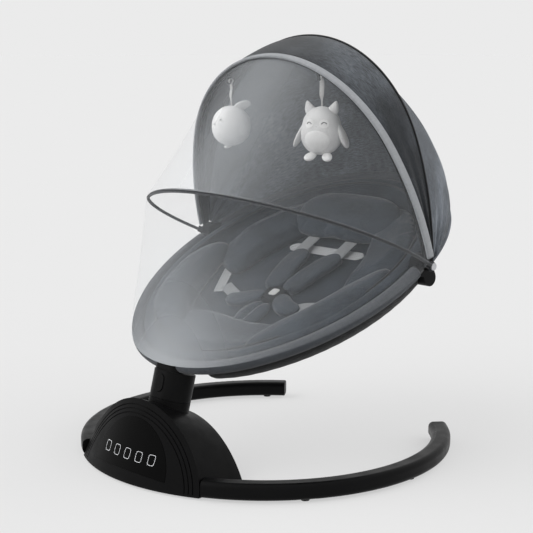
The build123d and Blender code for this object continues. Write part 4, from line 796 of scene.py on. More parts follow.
@dataclass
class Hood(Maker):
    """Cloth over the bows: a visor ahead of the ridge seam and a rounded hood behind it."""

    half_width: float = 0.2499
    start: float = 0.02
    fullness: float = 0.93
    front_open: float = 74.6
    ridge_open: float = 90.0
    rear_open: float = 155.0
    front_rise: float = 0.3088
    ridge_rise: float = 0.3268
    head_rise: float = 0.2288
    head_half_width: float = 0.2455
    head_fullness: float = 0.855
    head_wide: float = -0.045
    fall: float = 0.6
    cloth: float = 0.0016
    across: int = 160
    fold_depth: float = 0.0028
    fold_reach: float = 0.12
    visor_folds: float = 2.5
    hood_folds: float = 4.5
    seam_gap: float = 0.15
    dip: float = 0.0022
    gathers: int = 34
    gather_depth: float = 0.0016
    gather_from: float = 0.72
    visor_bend: float = 0.034
    hood_bend: float = 0.21
    edge_drop: float = 0.006
    edge_steps: int = 200
    binding: tuple[float, float] = (0.0064, 0.0026)
    piping: float = 0.0019
    hem: float = 0.0028

    def section(self, rise: float, turned: float) -> Array:
        """Traces an arch of the hood at one rise, turned by a share from the bow's shape to the rim's."""
        half_width = self.half_width + (self.head_half_width - self.half_width) * turned
        fullness = self.fullness + (self.head_fullness - self.fullness) * turned
        return Arch(half_width, rise, fullness, self.head_wide * turned, self.start).trace(self.across)

    def surface(self, openings: Array, rises: Array, turned: Array, folds: float) -> Array:
        """Lays arches side by side, with folds that fan out from the pivots.

        A fold pushes the cloth sideways by a sine of the opening, fading with the distance from the
        pivot as exp(-(r/reach)^2).

        Args:
            openings: Each arch's opening in degrees.
            rises: Each arch's rise.
            turned: How far each arch has turned to the rim's shape, from 0 to 1.
            folds: Number of folds from front to back.

        Returns:
            Grid as (arches, across, 3).
        """
        traced = np.stack([self.section(rise, turn) for rise, turn in zip(rises, turned)])
        points = self.layout.on_bow(openings[:, None], traced[..., 0], traced[..., 1])
        share = (openings - openings[0]) / (openings[-1] - openings[0])
        wave = np.sin(2 * np.pi * folds * share)[:, None] * np.sin(np.pi * share)[:, None]
        fade = np.exp(-((traced[..., 1] / self.fold_reach) ** 2))
        points[..., 0] -= np.sign(traced[..., 0]) * self.fold_depth * wave * fade
        return points

    def build_visor(self) -> None:
        """Makes the front panel, dipping a little between the two bows."""
        share = np.linspace(0, 1, 22)
        openings = self.front_open + (self.ridge_open - self.seam_gap - self.front_open) * share
        climb = (self.ridge_rise - self.front_rise) * np.sin(0.5 * np.pi * share)
        rises = self.front_rise + climb - self.dip * np.sin(np.pi * share) ** 2
        points = self.surface(openings, rises, np.zeros_like(share), self.visor_folds)
        # The visor is cut from the darker copy of the canopy cloth: painted shade on the crest.
        visor = grid_piece("visor_cloth", points[::-1])
        thicken(visor, self.cloth)
        hinge = np.array(self.layout.hinge)
        bodies = (Body.MID_BOW, Body.FRONT_BOW)
        end = hinge - (0, self.visor_bend, 0)
        self.span(visor, "visor_cloth", "canopy", "canopy_panel", bodies, hinge, end)

    def build_hood(self) -> None:
        """Makes the rounded rear panel, gathered into its hem at the rim."""
        share = np.linspace(0, 1, 56)
        first = self.ridge_open + self.seam_gap
        openings = first + (self.rear_open - self.ridge_open - self.seam_gap) * share
        rises = self.ridge_rise - (self.ridge_rise - self.head_rise) * share**self.fall
        points = self.surface(openings, rises, share**2, self.hood_folds)
        along = np.linspace(0, 1, self.across)
        wave = self.gather_depth * np.sin(2 * np.pi * self.gathers * along)[None]
        gather = wave * smooth_step(share, self.gather_from, 1.0)[:, None]
        hinge = np.array(self.layout.hinge)
        outward = points - hinge
        outward /= np.linalg.norm(outward, axis=-1, keepdims=True)
        points = points - outward * (np.abs(gather) + gather)[..., None]
        # The hood is cut from the lighter copy of the canopy cloth: painted light on the rear.
        hood = grid_piece("hood_cloth", points[::-1])
        thicken(hood, self.cloth)
        bodies = (Body.SWING, Body.MID_BOW)
        start = hinge + (0, self.hood_bend, 0)
        self.span(hood, "hood_cloth", "canopy", "rear_hood", bodies, start, hinge)

    def edging(self, name: str, opening: float, arch: Arch, profile: Array) -> bpy.types.Object:
        """Carries a profile along an arch of the hood.

        Args:
            name: The piece's name.
            opening: The arch's plane, in degrees.
            arch: The arch.
            profile: Section as (m, 2): along the bow's width, then outwards.

        Returns:
            The new piece.
        """
        path = self.layout.on_bow(opening, *arch.trace(self.edge_steps).T)
        turn = math.radians(opening)
        return solid_piece(name, sweep(path, profile, (0, math.sin(turn), math.cos(turn))))

    def build_edges(self) -> None:
        """Makes the stitched binding in front, the dark piping along the ridge and the rear hem."""
        low = self.start - self.edge_drop
        front = Arch(self.half_width, self.front_rise + 0.0004, self.fullness, 0.0, low)
        binding = self.edging("front_binding", self.front_open - 0.2, front, ring(20, *self.binding, 3.0))
        self.fit(binding, "binding_tape", "sleeve_fabric", Body.FRONT_BOW)
        ridge = Arch(self.half_width, self.ridge_rise + 0.0006, self.fullness, 0.0, low)
        piping = self.edging("ridge_piping", self.ridge_open, ridge, ring(12, self.piping, self.piping))
        self.fit(piping, "seam_piping", "sling", Body.MID_BOW)
        rear = Arch(self.head_half_width, self.head_rise, self.head_fullness, self.head_wide, low)
        hem = self.edging("hood_hem", self.rear_open, rear, ring(14, self.hem, self.hem))
        # The hem wears the hood's lighter copy of the canopy cloth: painted light.
        self.fit(hem, "hood_cloth", "canopy", Body.SWING)

    def build(self) -> None:
        """Makes the whole hood."""
        self.build_visor()
        self.build_hood()
        self.build_edges()


@dataclass
class InsectNet(Maker):
    """Net in two fields, from the front bow to the hoop and from the hoop to the rim."""

    bow: Arch = Arch(0.2489, 0.3078, 0.93, 0.0, 0.02)
    hoop: Arch = Arch(0.2614, 0.2464, 0.855, 0.05, 0.02)
    rim: Arch = Arch(0.2448, 0.3242, 0.855, 0.045, 0.02)
    hoop_seam: Arch = Arch(0.258, 0.243, 0.855, 0.05, 0.02)
    bow_open: float = 74.3
    hoop_open: float = 24.9
    rim_open: float = -25.3
    hoop_gap: float = 0.3
    seam_gap: float = 0.75
    seam: float = 0.0012
    drawn_in: float = 0.012
    bend: float = 0.13
    across: int = 180
    rows: int = 44

    def field(self, first: tuple[Arch, float], last: tuple[Arch, float], drawn_in: float) -> Array:
        """Stretches net between two edges: straight lines, bowed by a parabola towards the pivot.

        Args:
            first: The first edge's arch, and its plane in degrees.
            last: The last edge's, likewise.
            drawn_in: How far the middle is drawn in, as a share of its distance from the pivot.

        Returns:
            Grid as (rows, across, 3).
        """
        edges = [self.layout.on_bow(plane, *arch.trace(self.across).T) for arch, plane in (first, last)]
        share = np.linspace(0, 1, self.rows)[:, None, None]
        points = edges[0][None] * (1 - share) + edges[1][None] * share
        pull = drawn_in * 4 * share * (1 - share)
        points[..., 1:] += (np.array(self.layout.hinge) - points)[..., 1:] * pull
        return points

    def build_upper(self) -> None:
        """Makes the field from the bow to the hoop."""
        hoop_edge = (self.hoop, self.hoop_open + self.hoop_gap)
        grid = self.field((self.bow, self.bow_open), hoop_edge, self.drawn_in)
        net = grid_piece("upper_net", grid)
        hinge = np.array(self.layout.hinge)
        turn = math.radians(self.bow_open)
        off_bow = hinge + self.bend * np.array((0, -math.sin(turn), -math.cos(turn)))
        self.span(net, "net", "net", "net_upper", (Body.FRONT_BOW, Body.NET_FRAME), hinge, off_bow)

    def build_lower(self) -> None:
        """Makes the field from the hoop to the rim."""
        grid = self.field((self.hoop, self.hoop_open - self.hoop_gap), (self.rim, self.rim_open), 0.0)
        net = grid_piece("lower_net", grid)
        self.fit(net, "hem_net", "net", Body.NET_FRAME, "net_lower")

    def build(self) -> None:
        """Makes both fields and the piping that sews them to the hoop."""
        self.build_upper()
        self.build_lower()
        path = self.layout.on_bow(self.hoop_open + self.seam_gap, *self.hoop_seam.trace(220).T)
        piping = solid_piece("hoop_piping", sweep(path, ring(10, self.seam, self.seam), (1, 0, 0.02)))
        self.fit(piping, "hoop_cover", "sleeve_fabric", Body.NET_FRAME)


@dataclass
class Shell(Maker):
    """The seat's outside: the cloth roll on the rim and the black sling under it."""

    half_width: float = 0.234
    foot: float = 0.314
    head: float = 0.214
    wide: float = 0.045
    fullness: float = 0.855
    roll: float = 0.0097
    bowl_power: float = 2.5
    bowl_floor: float = 0.92
    sling_inset: float = 0.006
    sling_top: float = -0.0096
    sling_floor: float = -0.0579
    sling_sag: float = 0.002
    sling_thickness: float = 0.0018
    pleats: int = 64
    pleat_depth: float = 0.005
    pleat_reach: float = 0.016
    notch_half_width: float = 0.041
    notch_depth: float = 0.052
    roll_start: float = 0.02
    puckers: int = 95
    pucker_depth: float = 0.018
    seam_turn: float = 2.4
    seam_depth: float = 0.10

    def oval(self, inset: float, scale: float, count: int) -> Array:
        """Traces the rim's oval drawn in by an inset and scaled about its widest line."""
        shape = Oval(
            scale * (self.half_width - inset),
            scale * (self.foot - self.wide - inset),
            scale * (self.head + self.wide - inset),
            self.fullness,
        )
        return shape.trace(count) - (0, self.wide)

    def bowl_scale(self, share: Array) -> Array:
        """Draws a bowl in towards its floor: (1 - t^p)^(1/p)."""
        return (1 - share**self.bowl_power) ** (1 / self.bowl_power)

    def build_rolls(self) -> None:
        """Makes the stuffed rolls on the rim, front and rear, lightly puckered by their seam."""
        front = Arch(self.half_width, self.foot, self.fullness, self.wide, self.roll_start)
        rear = Arch(self.half_width, self.head, self.fullness, -self.wide, self.roll_start)
        turn = np.linspace(0, 2 * np.pi, 24, endpoint=False)
        seam = np.exp(-((np.angle(np.exp(1j * (turn - self.seam_turn))) / 0.22) ** 2))
        slope = math.radians(self.layout.slope_deg)
        for name, arch, heading, nodes in (
            ("rim_roll_front", front, -1, ("rim_sleeve",)),
            ("rim_roll_rear", rear, 1, ()),
        ):
            flat = arch.trace(360)
            path = self.layout.on_seat(flat[:, 0], heading * flat[:, 1], 0.0)
            share = np.linspace(0, 1, len(path))
            wave = np.sin(2 * np.pi * self.puckers * share) * np.sin(2 * np.pi * 7 * share)
            reach = self.roll * (1 - self.seam_depth * seam)[None] * (1 + self.pucker_depth * wave)[:, None]
            profile = np.stack((reach * np.cos(turn), reach * np.sin(turn)), axis=-1)
            piece = solid_piece(name, sweep(path, profile, (0, -math.sin(slope), math.cos(slope))))
            self.fit(piece, "roll_cloth", "sleeve_fabric", Body.SWING, *nodes)

    def build_sling(self) -> None:
        """Makes the sling: a bowl hung from the rim, pleated at its edge and cut away for the post."""
        share = np.linspace(0, self.bowl_floor, 22)
        inward = np.linspace(1, 0.01, 10)[1:]
        scales = np.concatenate((self.bowl_scale(share), self.bowl_scale(share[-1:]) * inward))
        levels = self.sling_top + (self.sling_floor - self.sling_top) * share / self.bowl_floor
        levels = np.concatenate((levels, self.sling_floor - self.sling_sag * (1 - inward**2)))
        count = 240
        flat = np.stack([self.oval(self.sling_inset, scale, count) for scale in scales])
        turn = np.linspace(0, 2 * np.pi, count, endpoint=False)
        depth = (self.sling_top - levels)[:, None]
        wave = 1 + np.sin(self.pleats * turn)
        pleat = 1 - self.pleat_depth * wave[None] * np.exp(-depth / self.pleat_reach)
        x = flat[..., 0] * pleat
        y = (flat[..., 1] + self.wide) * pleat - self.wide
        notch = np.exp(-((x / self.notch_half_width) ** 4)) * smooth_step(-y, 0.20, 0.26)
        y = y + self.notch_depth * notch * smooth_step(-depth, -0.055, -0.03)
        points = self.layout.on_seat(x, y, levels[:, None])
        piece = grid_piece("seat_sling_cloth", points, wrap=True)
        thicken(piece, self.sling_thickness)
        self.fit(piece, "sling_cloth", "sling", Body.SWING, "seat_sling")

    def build(self) -> None:
        """Makes the rolls and the sling."""
        self.build_rolls()
        self.build_sling()


@dataclass
class Liner(Shell):
    """Plush seat liner with sewn channels, its piping, the head pillow and the side bolsters."""

    top: float = 0.005
    floor: float = -0.0325
    underside: float = -0.0525
    outer_inset: float = 0.0125
    inner_inset: float = 0.032
    lip: float = 0.0035
    channel: float = 0.85
    channel_width: float = 0.018
    channel_depth: float = 0.0055
    inner_channel: float = 0.56
    swells: tuple[float, float] = (0.0050, 0.0030)
    slack: float = 0.0016
    piping: float = 0.0017
    pillow_half: tuple[float, float, float] = (0.106, 0.050, 0.0150)
    pillow_place: tuple[float, float] = (0.094, -0.006)
    pillow_tilt_deg: float = 19.0
    wing_share: tuple[float, float] = (0.735, 0.215)
    wing_turn_deg: tuple[float, float, float] = (-30.0, 36.0, -10.0)
    wing_lift: tuple[float, float] = (0.008, 0.013)
    foot_half: tuple[float, float, float] = (0.128, 0.056, 0.011)
    foot_y: float = -0.212
    foot_lift: float = 0.003
    bolster_inset: float = 0.056
    bolster_level: float = -0.0055
    bolster_half: float = 0.034
    bolster_turn_deg: tuple[float, float] = (-8.0, 72.0)
    bolster_lean_deg: float = 24.0
    vent_lift: float = 0.0045
    vent_thickness: float = 0.0005

    def build_pad(self) -> None:
        """Makes the closed pad: the bowl's inside, its rounded edge and its underside.

        Channels are pressed in by exp(-(d/w)^2) at a set share of the oval, the plush between them
        swells as a half sine, and low waves give it slack.
        """
        share = np.linspace(self.bowl_floor, 0, 34)
        inner = self.bowl_scale(share)
        centre = np.linspace(0.01, 1, 14)[:-1] * inner[0]
        scale_in = np.concatenate((centre, inner))
        level_in = np.concatenate(
            (np.full(len(centre), self.floor), self.top + (self.floor - self.top) * share / self.bowl_floor)
        )
        edge = np.linspace(0, np.pi, 9)[1:-1]
        middle = (self.inner_inset + self.outer_inset) / 2
        half = (self.inner_inset - self.outer_inset) / 2
        down = np.linspace(0, self.bowl_floor, 16)
        outer = self.bowl_scale(down)
        count = 260
        dish = [self.oval(self.inner_inset, scale, count) for scale in scale_in]
        lip = [self.oval(middle + half * math.cos(turn), 1.0, count) for turn in edge]
        under = [self.oval(self.outer_inset, scale, count) for scale in outer]
        shut = outer[-1] * np.linspace(1, 0.01, 8)[1:]
        closing = [self.oval(self.outer_inset, scale, count) for scale in shut]
        flat = np.stack(dish + lip + under + closing)
        levels = np.concatenate(
            (
                level_in,
                self.top + self.lip * np.sin(edge),
                self.top + (self.underside - self.top) * down / self.bowl_floor,
                np.full(len(closing), self.underside),
            )
        )
        z = np.repeat(levels[:, None], count, axis=1)
        rows = len(dish)
        x, y = flat[:rows, :, 0], flat[:rows, :, 1]
        press = np.exp(-(((scale_in - self.channel) / self.channel_width) ** 2)) * self.channel_depth
        outer_band = np.clip((scale_in - self.channel) / (1 - self.channel), 0, 1)
        inner_band = np.clip((scale_in - self.inner_channel) / (self.channel - self.inner_channel), 0, 1)
        swell = self.swells[0] * np.sin(np.pi * outer_band) + self.swells[1] * np.sin(np.pi * inner_band)
        wall = smooth_step(scale_in, 0.55, 0.75)
        waves = np.sin(38 * x + 13 * y) * np.sin(31 * y - 9 * x)
        waves = waves + 0.5 * np.sin(71 * x - 23 * y) * np.sin(64 * y + 19 * x)
        z[:rows] += (swell - press)[:, None] + self.slack * waves * wall[:, None] - 0.0004
        points = self.layout.on_seat(flat[..., 0], flat[..., 1], z)
        piece = solid_piece("seat_liner", points)
        soften(piece)
        self.fit(piece, "liner_plush", "liner", Body.SWING, "seat_pad")

    def build_piping(self) -> None:
        """Makes the thin piping sewn round the liner's edge."""
        flat = self.oval(self.inner_inset - 0.001, 1.0, 320)
        path = self.layout.on_seat(flat[:, 0], flat[:, 1], self.top + 0.0030)
        grid = sweep(path, ring(10, self.piping, self.piping), (0, 0, 1), closed=True)
        closed = np.concatenate((grid, grid[:1]))
        piece = grid_piece("liner_piping", closed, wrap=True)
        self.fit(piece, "strap_cover", "strap", Body.SWING)

    def level_at(self, x: Array, y: Array) -> Array:
        """Gives the bowl's height under a place, from the place's share of the inner oval."""
        reach = np.where(y < -self.wide, self.foot - self.wide, self.head + self.wide) - self.inner_inset
        share = np.hypot(x / (self.half_width - self.inner_inset), (y + self.wide) / reach)
        depth = (1 - np.clip(share, 0, 1) ** self.bowl_power) ** (1 / self.bowl_power)
        return self.top + (self.floor - self.top) * np.minimum(depth / self.bowl_floor, 1)

    def leaf(self, power: float, edge: float) -> tuple[Array, Array, Array]:
        """Wraps a crowned cushion in its own unit space.

        Its outline is |u|^power + |v|^power = 1, and its thickness falls to a rounded edge.

        Args:
            power: Squareness of the outline.
            edge: Bluntness of the edge, smaller for blunter.

        Returns:
            Places along, across and through the cushion, each from -1 to 1.
        """
        turn = np.linspace(0, 2 * np.pi, 84, endpoint=False)[None]
        lift = np.linspace(-np.pi / 2, np.pi / 2, 26)[:, None]
        around = np.cos(lift) ** edge
        u = around * np.sign(np.cos(turn)) * np.abs(np.cos(turn)) ** (2 / power)
        v = around * np.sign(np.sin(turn)) * np.abs(np.sin(turn)) ** (2 / power)
        return u, v, np.sin(lift) * np.ones_like(turn)

    def stuff(self, name: str, points: Array, filling: Stuffing, fill: float, *nodes: str) -> None:
        """Makes a stuffed plush cushion on the seat.

        Args:
            name: The piece's name.
            points: Its cover, in the shared frame.
            filling: How its cover swells.
            fill: How tight it is stuffed, from 0 to 1; not used.
            nodes: Solids that it replaces.
        """
        piece = solid_piece(name, points)
        filling.fill(piece)
        self.fit(piece, "pillow_plush", "liner", Body.SWING, *nodes)

    def build_pillow(self) -> None:
        """Makes the head pillow: a crowned oval with its sides pulled in, scooped along its lower edge."""
        u, v, w = self.leaf(2.9, 0.62)
        x, y = self.pillow_half[0] * u, self.pillow_half[1] * v
        y = y + 0.006 * (1 - u**2) * smooth_step(-y, 0.0, 0.03)
        z = self.pillow_half[2] * w * (1 + 0.25 * u**2)
        tilt = math.radians(self.pillow_tilt_deg)
        along = self.pillow_place[0] + y * math.cos(tilt) - z * math.sin(tilt)
        up = self.pillow_place[1] + y * math.sin(tilt) + z * math.cos(tilt)
        self.stuff("pillow", self.layout.on_seat(x, along, up), PILLOW_FILL, 0.7, "head_pillow")

    def build_wings(self) -> None:
        """Makes the insert's two side wings, laid on the bowl from the head to the waist."""
        u, v, w = self.leaf(3.0, 0.55)
        middle, along, across = self.wing_turn_deg
        angle = np.radians(middle + along * u + across * v)
        share = self.wing_share[0] + self.wing_share[1] * v
        forward = smooth_step(angle, -0.3, 0.3)
        reach = (self.head + self.wide) * (1 - forward) + (self.foot - self.wide) * forward - self.inner_inset
        x = share * (self.half_width - self.inner_inset) * np.cos(angle)
        y = -self.wide - share * reach * np.sin(angle)
        z = self.level_at(x, y) + self.wing_lift[0] + self.wing_lift[1] * w
        for side, name in SIDES:
            self.stuff(f"{name}_insert_wing", self.layout.on_seat(side * x, y, z), CUSHION_FILL, 0.6)

    def build_foot(self) -> None:
        """Makes the broad foot cushion in the front of the bowl."""
        u, v, w = self.leaf(2.5, 0.6)
        x = self.foot_half[0] * u * (1 + 0.16 * v)
        y = self.foot_y + self.foot_half[1] * v
        z = self.level_at(x, y) + self.foot_lift + self.foot_half[2] * w
        self.stuff("foot_cushion", self.layout.on_seat(x, y, z), CUSHION_FILL, 0.6)

    def build_bolsters(self) -> None:
        """Makes the two long side bolsters: leaves that swell to the middle and lean in from the rim."""
        share = np.linspace(0, 1, 64)
        turn = np.radians(self.bolster_turn_deg[0] + self.bolster_turn_deg[1] * share)
        reach_x, reach_y = self.half_width - self.bolster_inset, self.foot - self.wide - self.bolster_inset
        swell = self.bolster_half * rounded_ends(share, 2.2) + 0.0008
        profile = ring(32, 0.56, 1.0, 2.1)[None] * swell[:, None, None]
        lean = math.radians(self.bolster_lean_deg)
        hinge = np.array(self.layout.hinge)
        for side, name in SIDES:
            x, y = side * reach_x * np.cos(turn), -self.wide - reach_y * np.sin(turn)
            path = self.layout.on_seat(x, y, self.bolster_level)
            inward = np.stack((-side * np.cos(turn), np.sin(turn)), axis=1) * math.sin(lean)
            raised = self.layout.on_seat(inward[:, 0], inward[:, 1], math.cos(lean)) - hinge
            cover = sweep(path, profile, raised)
            self.stuff(f"{name}_side_bolster", cover, CUSHION_FILL, 0.75, f"{name}_bolster")

    def build_vents(self) -> None:
        """Makes the open mesh patches along the pillow's lower edge and ahead of the wings."""
        patches = (
            ("head_vent", (0.0, 0.031), (0.080, 0.010), 0.0),
            ("right_vent", (0.128, -0.083), (0.008, 0.034), -26.0),
            ("left_vent", (-0.128, -0.083), (0.008, 0.034), 26.0),
        )
        across = np.linspace(-1, 1, 28)[None]
        along = np.linspace(-1, 1, 16)[:, None]
        for name, middle, size, turn_deg in patches:
            turn = math.radians(turn_deg)
            u, v = size[0] * across * (1 - 0.12 * along**2), size[1] * along * np.ones_like(across)
            x = middle[0] + u * math.cos(turn) - v * math.sin(turn)
            y = middle[1] + u * math.sin(turn) + v * math.cos(turn)
            z = self.level_at(x, y) + self.vent_lift
            piece = grid_piece(name, self.layout.on_seat(x, y, z))
            thicken(piece, self.vent_thickness)
            self.fit(piece, "vent_mesh", "webbing", Body.SWING)

    def build(self) -> None:
        """Makes the liner and everything sewn to it."""
        self.build_pad()
        self.build_piping()
        self.build_pillow()
        self.build_wings()
        self.build_foot()
        self.build_bolsters()
        self.build_vents()


@dataclass
class Harness(Maker):
    """Padded shoulder straps, waist webbing and the crotch pad."""

    level: float = -0.0322
    shoulder_half: tuple[float, float] = (0.0205, 0.0060)
    shoulder_x: tuple[float, float] = (0.040, -0.024)
    shoulder_y: tuple[float, float] = (0.020, -0.104)
    waist_half: tuple[float, float] = (0.0145, 0.0055)
    pad_arch: float = 0.003
    tab_half: float = 0.0125
    tab_x: float = 0.0405
    tail_half: float = 0.0098
    webbing: float = 0.0009
    petals_half: tuple[float, float, float] = (0.0265, 0.038, 0.0065)
    petals_y: float = -0.154
    crease: float = 0.005

    def band(
        self, name: str, path: tuple[Array, ...], width: Array, height: float, count: int
    ) -> bpy.types.Object:
        """Carries a flat rounded section along a path on the seat.

        Args:
            name: The piece's name.
            path: The path's places across, up and off the seat.
            width: Half width at each point.
            height: Half thickness.
            count: Points round the section.

        Returns:
            The new piece.
        """
        profile = stretched(ring(count, 1.0, 1.0, 3.6), height, width)
        slope = math.radians(self.layout.slope_deg)
        side = (0, -math.sin(slope), math.cos(slope))
        return solid_piece(name, sweep(self.layout.on_seat(*path), profile, side))

    def pad(
        self, name: str, path: tuple[Array, ...], width: Array, height: float, count: int
    ) -> bpy.types.Object:
        """Makes a lightly stuffed plush pad along a path, as band does."""
        piece = self.band(name, path, width, height, count)
        soften(piece)
        self.fit(piece, "pillow_plush", "liner", Body.SWING)
        return piece

    def tape(self, name: str, path: tuple[Array, ...], half: float) -> None:
        """Makes a length of pale webbing along a path."""
        piece = self.band(name, path, np.full(len(path[1]), half), self.webbing, 20)
        self.fit(piece, "pale_webbing", "webbing", Body.SWING)

    def build_shoulders(self) -> None:
        """Makes the plush shoulder pads, arched a little off the seat, and the webbing that they slide on."""
        share = np.linspace(0, 1, 44)
        width = self.shoulder_half[0] * rounded_ends(share, 6.0) + 0.001
        y = self.shoulder_y[0] + self.shoulder_y[1] * share
        z = self.level + 0.0062 + self.pad_arch * np.sin(np.pi * share)
        tab = np.linspace(0, 1, 24)
        for side, name in SIDES:
            x = side * (self.shoulder_x[0] + self.shoulder_x[1] * share)
            piece = self.pad(f"{name}_strap_pad", (x, y, z), width, self.shoulder_half[1], 28)
            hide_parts(f"{name}_shoulder_strap")
            path = (side * self.tab_x, 0.052 - 0.044 * tab, self.level + 0.0125 - 0.002 * tab)
            self.tape(f"{name}_strap_webbing", path, self.tab_half)

    def build_waist(self) -> None:
        """Makes the curved waist pads beside the buckle and the webbing that runs on from them."""
        share = np.linspace(0, 1, 36)
        width = self.waist_half[0] * rounded_ends(share, 4.0) + 0.001
        y = -0.098 - 0.026 * np.sin(np.pi * share * 0.72)
        z = self.level + 0.0060 + self.pad_arch * np.sin(np.pi * share)
        tail_z = self.level + 0.0062 + 0.0012 * np.sin(2 * np.pi * share)
        for side, name in SIDES:
            path = (side * (0.018 + 0.058 * share), y, z)
            self.pad(f"{name}_waist_pad", path, width, self.waist_half[1], 24)
            path = (side * (0.066 + 0.046 * share), -0.117 + 0.022 * share, tail_z)
            self.tape(f"{name}_waist_webbing", path, self.tail_half)
        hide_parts("waist_straps")

    def build_crotch(self) -> None:
        """Makes the crotch pad: two stuffed petals with a crease between them."""
        turn = np.linspace(0, 2 * np.pi, 64, endpoint=False)[None]
        lift = np.linspace(-np.pi / 2, np.pi / 2, 22)[:, None]
        around = np.cos(lift) ** 0.55
        x = self.petals_half[0] * around * np.cos(turn) * (1 + 0.18 * np.sin(turn))
        y = self.petals_y + self.petals_half[1] * around * np.sin(turn)
        crease = self.crease * np.exp(-((x / 0.005) ** 2)) * smooth_step(np.sin(lift), 0.0, 0.6)
        z = self.level + 0.0075 + self.petals_half[2] * np.sin(lift) - crease
        piece = solid_piece("crotch_cushion", self.layout.on_seat(x, y, z))
        PETAL_FILL.fill(piece)
        self.fit(piece, "pillow_plush", "liner", Body.SWING, "crotch_pad")

    def build(self) -> None:
        """Makes the whole harness."""
        self.build_shoulders()
        self.build_waist()
        self.build_crotch()


@dataclass(frozen=True)
class Lobe:
    """Stuffed ellipsoid that narrows by a taper along the first of its three axes."""

    centre: tuple[float, float, float]
    axes: tuple[tuple[float, float, float], ...]
    radii: tuple[float, float, float]
    taper: float = 0.0
    count: int = 28
    soft: bool = True

    def points(self) -> Array:
        """Gives its rings in toy places: each is as wide as the sine of its lift, less the taper."""
        lift = np.linspace(0.06, np.pi - 0.06, self.count)[:, None]
        turn = np.linspace(0, 2 * np.pi, self.count + 4, endpoint=False)[None]
        along = -np.cos(lift) * np.ones_like(turn)
        width = np.sin(lift) * (1 - self.taper * along)
        frame = np.array(self.axes, dtype=float)
        frame /= np.linalg.norm(frame, axis=1, keepdims=True)
        steps = np.stack((along, width * np.cos(turn), width * np.sin(turn)), axis=-1)
        return np.array(self.centre) + (steps * self.radii) @ frame


@dataclass
class Toy(Maker):
    """What the two hanging toys share: an upright turned frame, a round body and stuffed lobes."""

    body: Body = Body.OWL
    peg: tuple[float, float, float] = (0.0, 0.0, 0.0)
    turn_deg: float = 0.0
    drop: float = 0.04
    height: float = 0.071
    radius: float = 0.0305
    belly: float = 0.55
    roundness: float = 2.3
    neck: float = 0.0
    neck_level: float = 0.36
    loop: float = 0.0034
    tape: float = 0.0006

    def place(self, x: Array, y: Array, z: Array) -> Array:
        """Turns toy places, to its left, behind and above its crown, into the shared frame."""
        turn = math.radians(self.turn_deg)
        x, y, z = np.broadcast_arrays(x, y, z)
        across = self.peg[0] + x * math.cos(turn) - y * math.sin(turn)
        along = self.peg[1] + x * math.sin(turn) + y * math.cos(turn)
        return np.stack((across, along, self.peg[2] - self.drop + z), axis=-1)

    def skin(self, turn: Array, level: Array, puff: float = 1.0) -> Array:
        """Gives points on the round body.

        The radius at a level from 0, crown, to 1, base, is that of a full ellipse widest at the belly,
        drawn in a little at the neck.

        Args:
            turn: Angle round the body, 0 at the face.
            level: Share of the height from the crown.
            puff: Factor on the radius.

        Returns:
            Points in the shared frame.
        """
        below = (level - self.belly) / (1 - self.belly)
        spread = np.where(level < self.belly, (self.belly - level) / self.belly, below)
        radius = self.radius * puff * np.sqrt(np.clip(1 - spread**self.roundness, 0, 1))
        radius = radius * (1 - self.neck * np.exp(-(((level - self.neck_level) / 0.07) ** 2)))
        return self.place(radius * np.sin(turn), -radius * np.cos(turn), -self.height * level)

    def disc(self, middle: tuple, half: tuple, rows: int, count: int) -> tuple[Array, Array, Array]:
        """Lays a round patch on the body.

        Args:
            middle: Its middle's angle and level.
            half: Half its size in angle and level.
            rows: Rings from its middle to its edge.
            count: Points round each ring.

        Returns:
            Angles, levels and each ring's share of the way out.
        """
        span = np.linspace(0, 1, rows)[:, None]
        around = np.linspace(0, 2 * np.pi, count, endpoint=False)[None]
        turn = middle[0] + half[0] * span * np.cos(around)
        return turn, middle[1] + half[1] * span * np.sin(around), span

    def plush_body(self, name: str, finish: str, node: str) -> None:
        """Makes the stuffed body."""
        level = (1 - np.cos(np.linspace(0.10, np.pi - 0.10, 40)))[:, None] / 2
        turn = np.linspace(0, 2 * np.pi, 56, endpoint=False)[None]
        piece = solid_piece(name, self.skin(turn, level * np.ones_like(turn)))
        TOY_FILL.fill(piece)
        self.fit(piece, finish, "plush_white", self.body, node)

    def lobe(self, name: str, form: Lobe, finish: str, slot: str, *nodes: str) -> None:
        """Makes a stuffed lobe.

        Args:
            name: The piece's name.
            form: Its shape.
            finish: Its finish.
            slot: Its slot; not used.
            nodes: Solids that it replaces.
        """
        points = form.points()
        piece = solid_piece(name, self.place(points[..., 0], points[..., 1], points[..., 2]))
        if form.soft:
            soften(piece)
        self.fit(piece, finish, slot, self.body, *nodes)

    def ribbon(self, name: str, node: str) -> None:
        """Makes the hanging ribbon: a loop round the peg, a wide tab and a narrow tail to the crown."""
        loop = np.linspace(np.radians(-50), np.radians(230), 26)[::-1]
        share = np.linspace(0, 1, 22)
        sway = 0.0007 * np.sin(3 * np.pi * share)
        tail = np.linspace(-0.006, -self.drop - 0.003, len(share))
        y = np.concatenate((self.loop * np.cos(loop), sway))
        z = np.concatenate((self.loop * np.sin(loop), tail)) + self.drop
        narrowing = 0.0036 - 0.0023 * smooth_step(share, 0.45, 0.75)
        half = np.concatenate((np.full(len(loop), 0.0016), narrowing))
        profile = stretched(ring(12, 1.0, 1.0, 3.0), half, self.tape)
        turn = math.radians(self.turn_deg)
        path = self.place(0.0, y, z)
        piece = solid_piece(name, sweep(path, profile, (math.cos(turn), math.sin(turn), 0)))
        self.fit(piece, "ribbon", "webbing", self.body, node)


